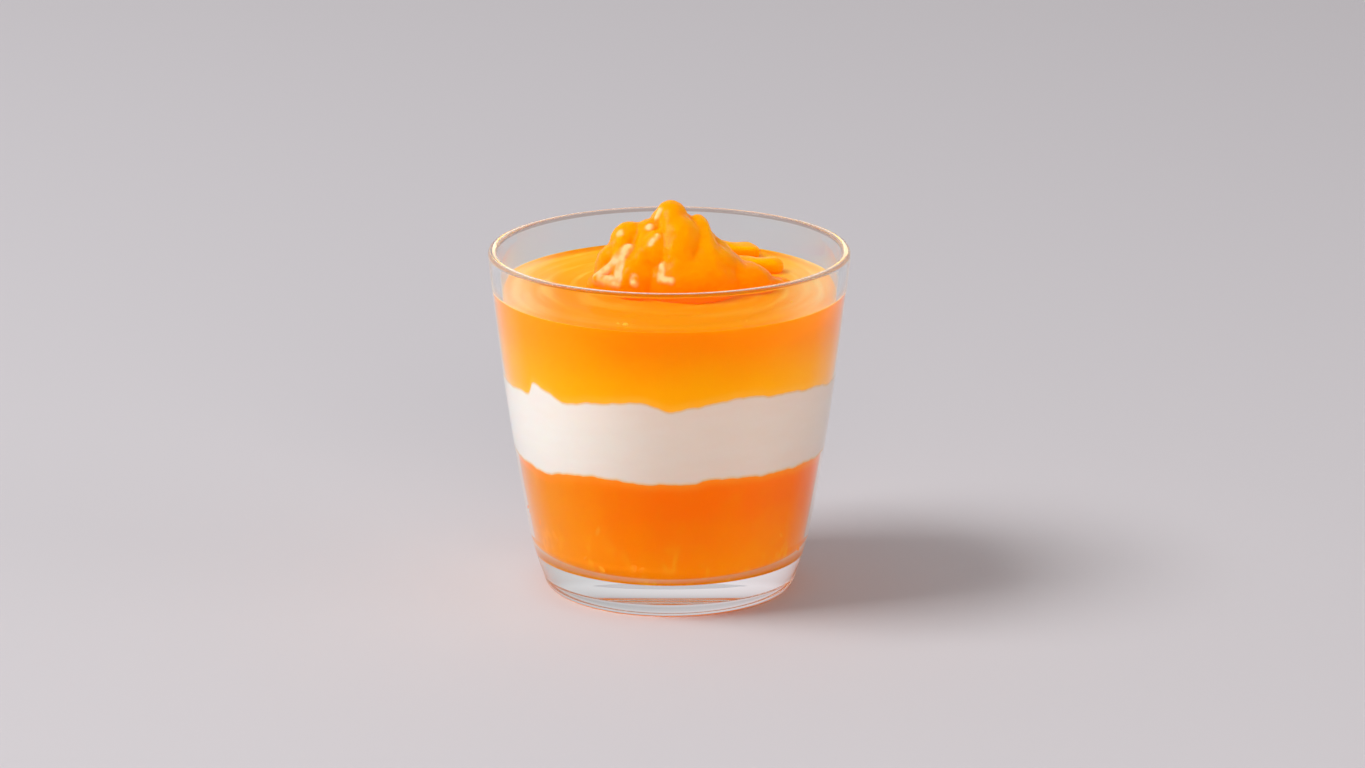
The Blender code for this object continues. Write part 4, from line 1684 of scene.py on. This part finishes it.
@dataclass
class Studio:
    """A plain paper floor, a large softbox at the left, weak fills in front and a low strip behind.

    The room is paler on the softbox's side, as its white wall is, and dim behind the camera.
    """

    wall_left: str = "#f4e6ea"
    wall_right: str = "#e6e8ea"
    left_strength: float = 1.0
    right_strength: float = 0.8
    ceiling_share: float = 0.25
    front_share: float = 0.4
    front_range: Point = (-0.7, 0.3)
    floor_size: float = 6.0
    camera_distance: float = 1.2
    camera_up: float = 15.63
    aim: Place = (2.9 * MM, 0.0, 45.8 * MM)
    lens: float = 142.4
    sensor: float = 36.0
    sight: float = 20.0
    lights: dict[Key, Lamp] = field(default_factory=lambda: {
        Key.SOFTBOX_LEFT: Lamp(2.4, 1.1, 1.1, 45.0, "#fffcfa", mirrored=True),
        Key.FILL_FRONT: Lamp(1.4, 0.9, 0.9, 7.8, "#fff0e6", mirrored=False),
        Key.FILL_RIGHT: Lamp(1.4, 0.7, 0.7, 3.5, "#fff0ea", mirrored=False),
        Key.STRIP_BEHIND: Lamp(1.4, 0.36, 0.08, 0.26, "#ffdca0", mirrored=True),
    })

    def add_floor(self) -> None:
        """Lay the paper floor."""
        half = self.floor_size / 2.0
        mesh = bpy.data.meshes.new("paper_floor")
        places = [(x * half, y * half, 0.0) for x, y in ((-1, -1), (1, -1), (1, 1), (-1, 1))]
        mesh.from_pydata(places, [], [(0, 1, 2, 3)])
        mesh.materials.append(StudioPaper().build())
        linked("paper_floor", mesh)

    def add_light(self, key: Key, lamp: Lamp) -> None:
        """Place one area light, aimed at the dessert.

        Args:
            key: Where it stands.
            lamp: What it is like.
        """
        around, up = (math.radians(angle) for angle in key.value)
        data = bpy.data.lights.new(key.name.lower(), "AREA")
        data.shape = "RECTANGLE"
        data.size, data.size_y = lamp.width, lamp.height
        data.energy = lamp.power
        data.color = linear(lamp.colour)[:3]
        light = linked(key.name.lower(), data)
        away = Vector((math.sin(around) * math.cos(up), -math.cos(around) * math.cos(up), math.sin(up)))
        light.location = Vector(self.aim) + away * lamp.distance
        light.rotation_euler = away.to_track_quat("Z", "Y").to_euler()
        light.visible_glossy = lamp.mirrored
        light.visible_transmission = lamp.through_glass

    def add_world(self) -> None:
        """Pale walls all round, brighter on the softbox's side, under a dimmer ceiling."""
        world = bpy.data.worlds.new("studio")
        bpy.context.scene.world = world
        world.use_nodes = True
        tree = world.node_tree
        tree.nodes.clear()
        way = add_node(tree, "ShaderNodeTexCoord").outputs["Generated"]
        axes = add_node(tree, "ShaderNodeSeparateXYZ", inputs={0: way}).outputs
        right = add_node(tree, "ShaderNodeMapRange", inputs={
            "Value": axes["X"], "From Min": -1.0,
        }).outputs[0]
        colour = painted(tree, linear(self.wall_left), Coat(right, 0.0, 1.0, self.wall_right, settings=EVEN))
        walls = add_node(tree, "ShaderNodeMapRange", inputs={
            "Value": right, "To Min": self.left_strength, "To Max": self.right_strength,
        }).outputs[0]
        ceiling = add_node(tree, "ShaderNodeMapRange", inputs={
            "Value": axes["Z"], "To Min": 1.0, "To Max": self.ceiling_share,
        }).outputs[0]
        front = add_node(tree, "ShaderNodeMapRange", SMOOTH, {
            "Value": axes["Y"], "From Min": self.front_range[0], "From Max": self.front_range[1],
            "To Min": self.front_share,
        }).outputs[0]
        room = add_node(tree, "ShaderNodeMath", TIMES, {0: walls, 1: ceiling}).outputs[0]
        strength = add_node(tree, "ShaderNodeMath", TIMES, {0: room, 1: front}).outputs[0]
        background = add_node(tree, "ShaderNodeBackground", inputs={"Color": colour, "Strength": strength})
        add_node(tree, "ShaderNodeOutputWorld", inputs={"Surface": background.outputs[0]})

    def add_camera(self) -> None:
        """Set the camera up, in front and a little above."""
        lens = bpy.data.cameras.new("camera")
        lens.lens = self.lens
        lens.sensor_width = self.sensor
        lens.clip_end = self.sight
        camera = linked("camera", lens)
        up = math.radians(self.camera_up)
        away = Vector((0.0, -math.cos(up), math.sin(up)))
        camera.location = Vector(self.aim) + away * self.camera_distance
        camera.rotation_euler = (math.pi / 2.0 - up, 0.0, 0.0)
        bpy.context.scene.camera = camera

    def build(self) -> None:
        """Build the studio."""
        self.add_floor()
        for key, lamp in self.lights.items():
            self.add_light(key, lamp)
        self.add_world()
        self.add_camera()
        scene = bpy.context.scene
        scene.view_settings.view_transform = "Standard"
        for name, count in BOUNCES.items():
            setattr(scene.cycles, name, count)


# ---------------------------------------------------------------- the dessert


def main() -> None:
    """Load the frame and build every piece."""
    logging.basicConfig(level=logging.INFO, format="%(name)s: %(message)s")
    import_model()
    noise.seed_set(NOISE_SEED)
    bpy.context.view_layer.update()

    low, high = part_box("glass")
    tumbler = Tumbler(rim_radius=(high[0] - low[0]) / 2.0, height=high[2] - low[2])
    tumbler.build()

    lower = SetJelly(
        "lower_jelly", "#fc8c00", "#f67200", "#fc8a1c", 8.0 * MM, 30.0 * MM, cloud_share=0.5, lit="#dc8e00",
        lit_share=0.75, painted_glow=0.28, wisp="#ffa820", wisp_share=0.6,
    )
    upper = SetJelly(
        "upper_jelly", "#ffa800", "#ff8a00", "#ffb02c", 52.0 * MM, 66.0 * MM,
        film_none=78.0 * MM, film_full=67.0 * MM, light_low="#5a1c0c", painted_glow=0.32,
    )
    surface = WetJelly(
        "jelly_surface", "#ff8600", "#ff8e00", 66.0 * MM, 69.0 * MM, painted_back_light_share=0.6, painted_sheen_share=0.6,
        painted_shade_ring_start=34.0 * MM, painted_side_sheen_share=0.7, specular=0.01, roughness=0.3,
    )
    broken = WetJelly(
        "broken_jelly", "#ff8600", "#f69c00", 69.0 * MM, 81.0 * MM, painted_fold_share=0.3, painted_highlight_share=0.75, painted_glow=0.16,
        specular=0.08, roughness=0.25,
    )
    torn = WetJelly("torn_strips", "#ff8e00", "#ffa600", 68.6 * MM, 71.0 * MM, painted_glow=0.2, specular=0.15)
    jelly, jelly_top = lower.build(), upper.build()
    Filling(
        "lower_jelly", "jelly_lower", "lower_jelly", tumbler, level(0.0), CREAM_BOTTOM.height,
        [jelly], on_floor=True,
    ).build()
    Filling(
        "cream_layer", "cream", "cream", tumbler, CREAM_BOTTOM.height, CREAM_TOP.height,
        [WhippedCream().build()],
    ).build()
    top = Filling(
        "upper_jelly", "jelly_upper", "upper_jelly", tumbler, CREAM_TOP.height,
        leaning(SURFACE, SURFACE_LEAN, SURFACE_RADIUS), [jelly_top, surface.build()],
        open_top=True, meniscus=0.2 * MM, face_rings=120,
    ).build()
    SwirledSurface().carve(top)
    Heap(broken.build()).build()
    torn_jelly = torn.build()
    Strip(
        "back_strip", "jelly_strip_back",
        ((3.0, 28.2), (8.0, 28.0), (13.0, 27.4), (17.5, 26.4), (20.2, 25.6)),
        5.2 * MM, 3.0 * MM, torn_jelly, seed=3.0,
    ).build()
    Strip(
        "front_strip", "jelly_strip_front",
        ((11.0, 13.6), (15.0, 13.4), (19.0, 13.0), (22.5, 12.4), (25.2, 11.7)),
        4.6 * MM, 3.3 * MM, torn_jelly, seed=8.0,
    ).build()
    Pulp(tumbler).build()
    # Paler skin on the bubbles: painted highlight.
    painted_highlight_bubble = WetJelly("bubble_painted_highlight", "#ffae30", "#ffd488", 68.2 * MM, 68.8 * MM, painted_glow=0.2, specular=0.3)
    Bubbles(painted_highlight_bubble.build()).build()
    Studio().build()


if __name__ == "__main__":
    main()
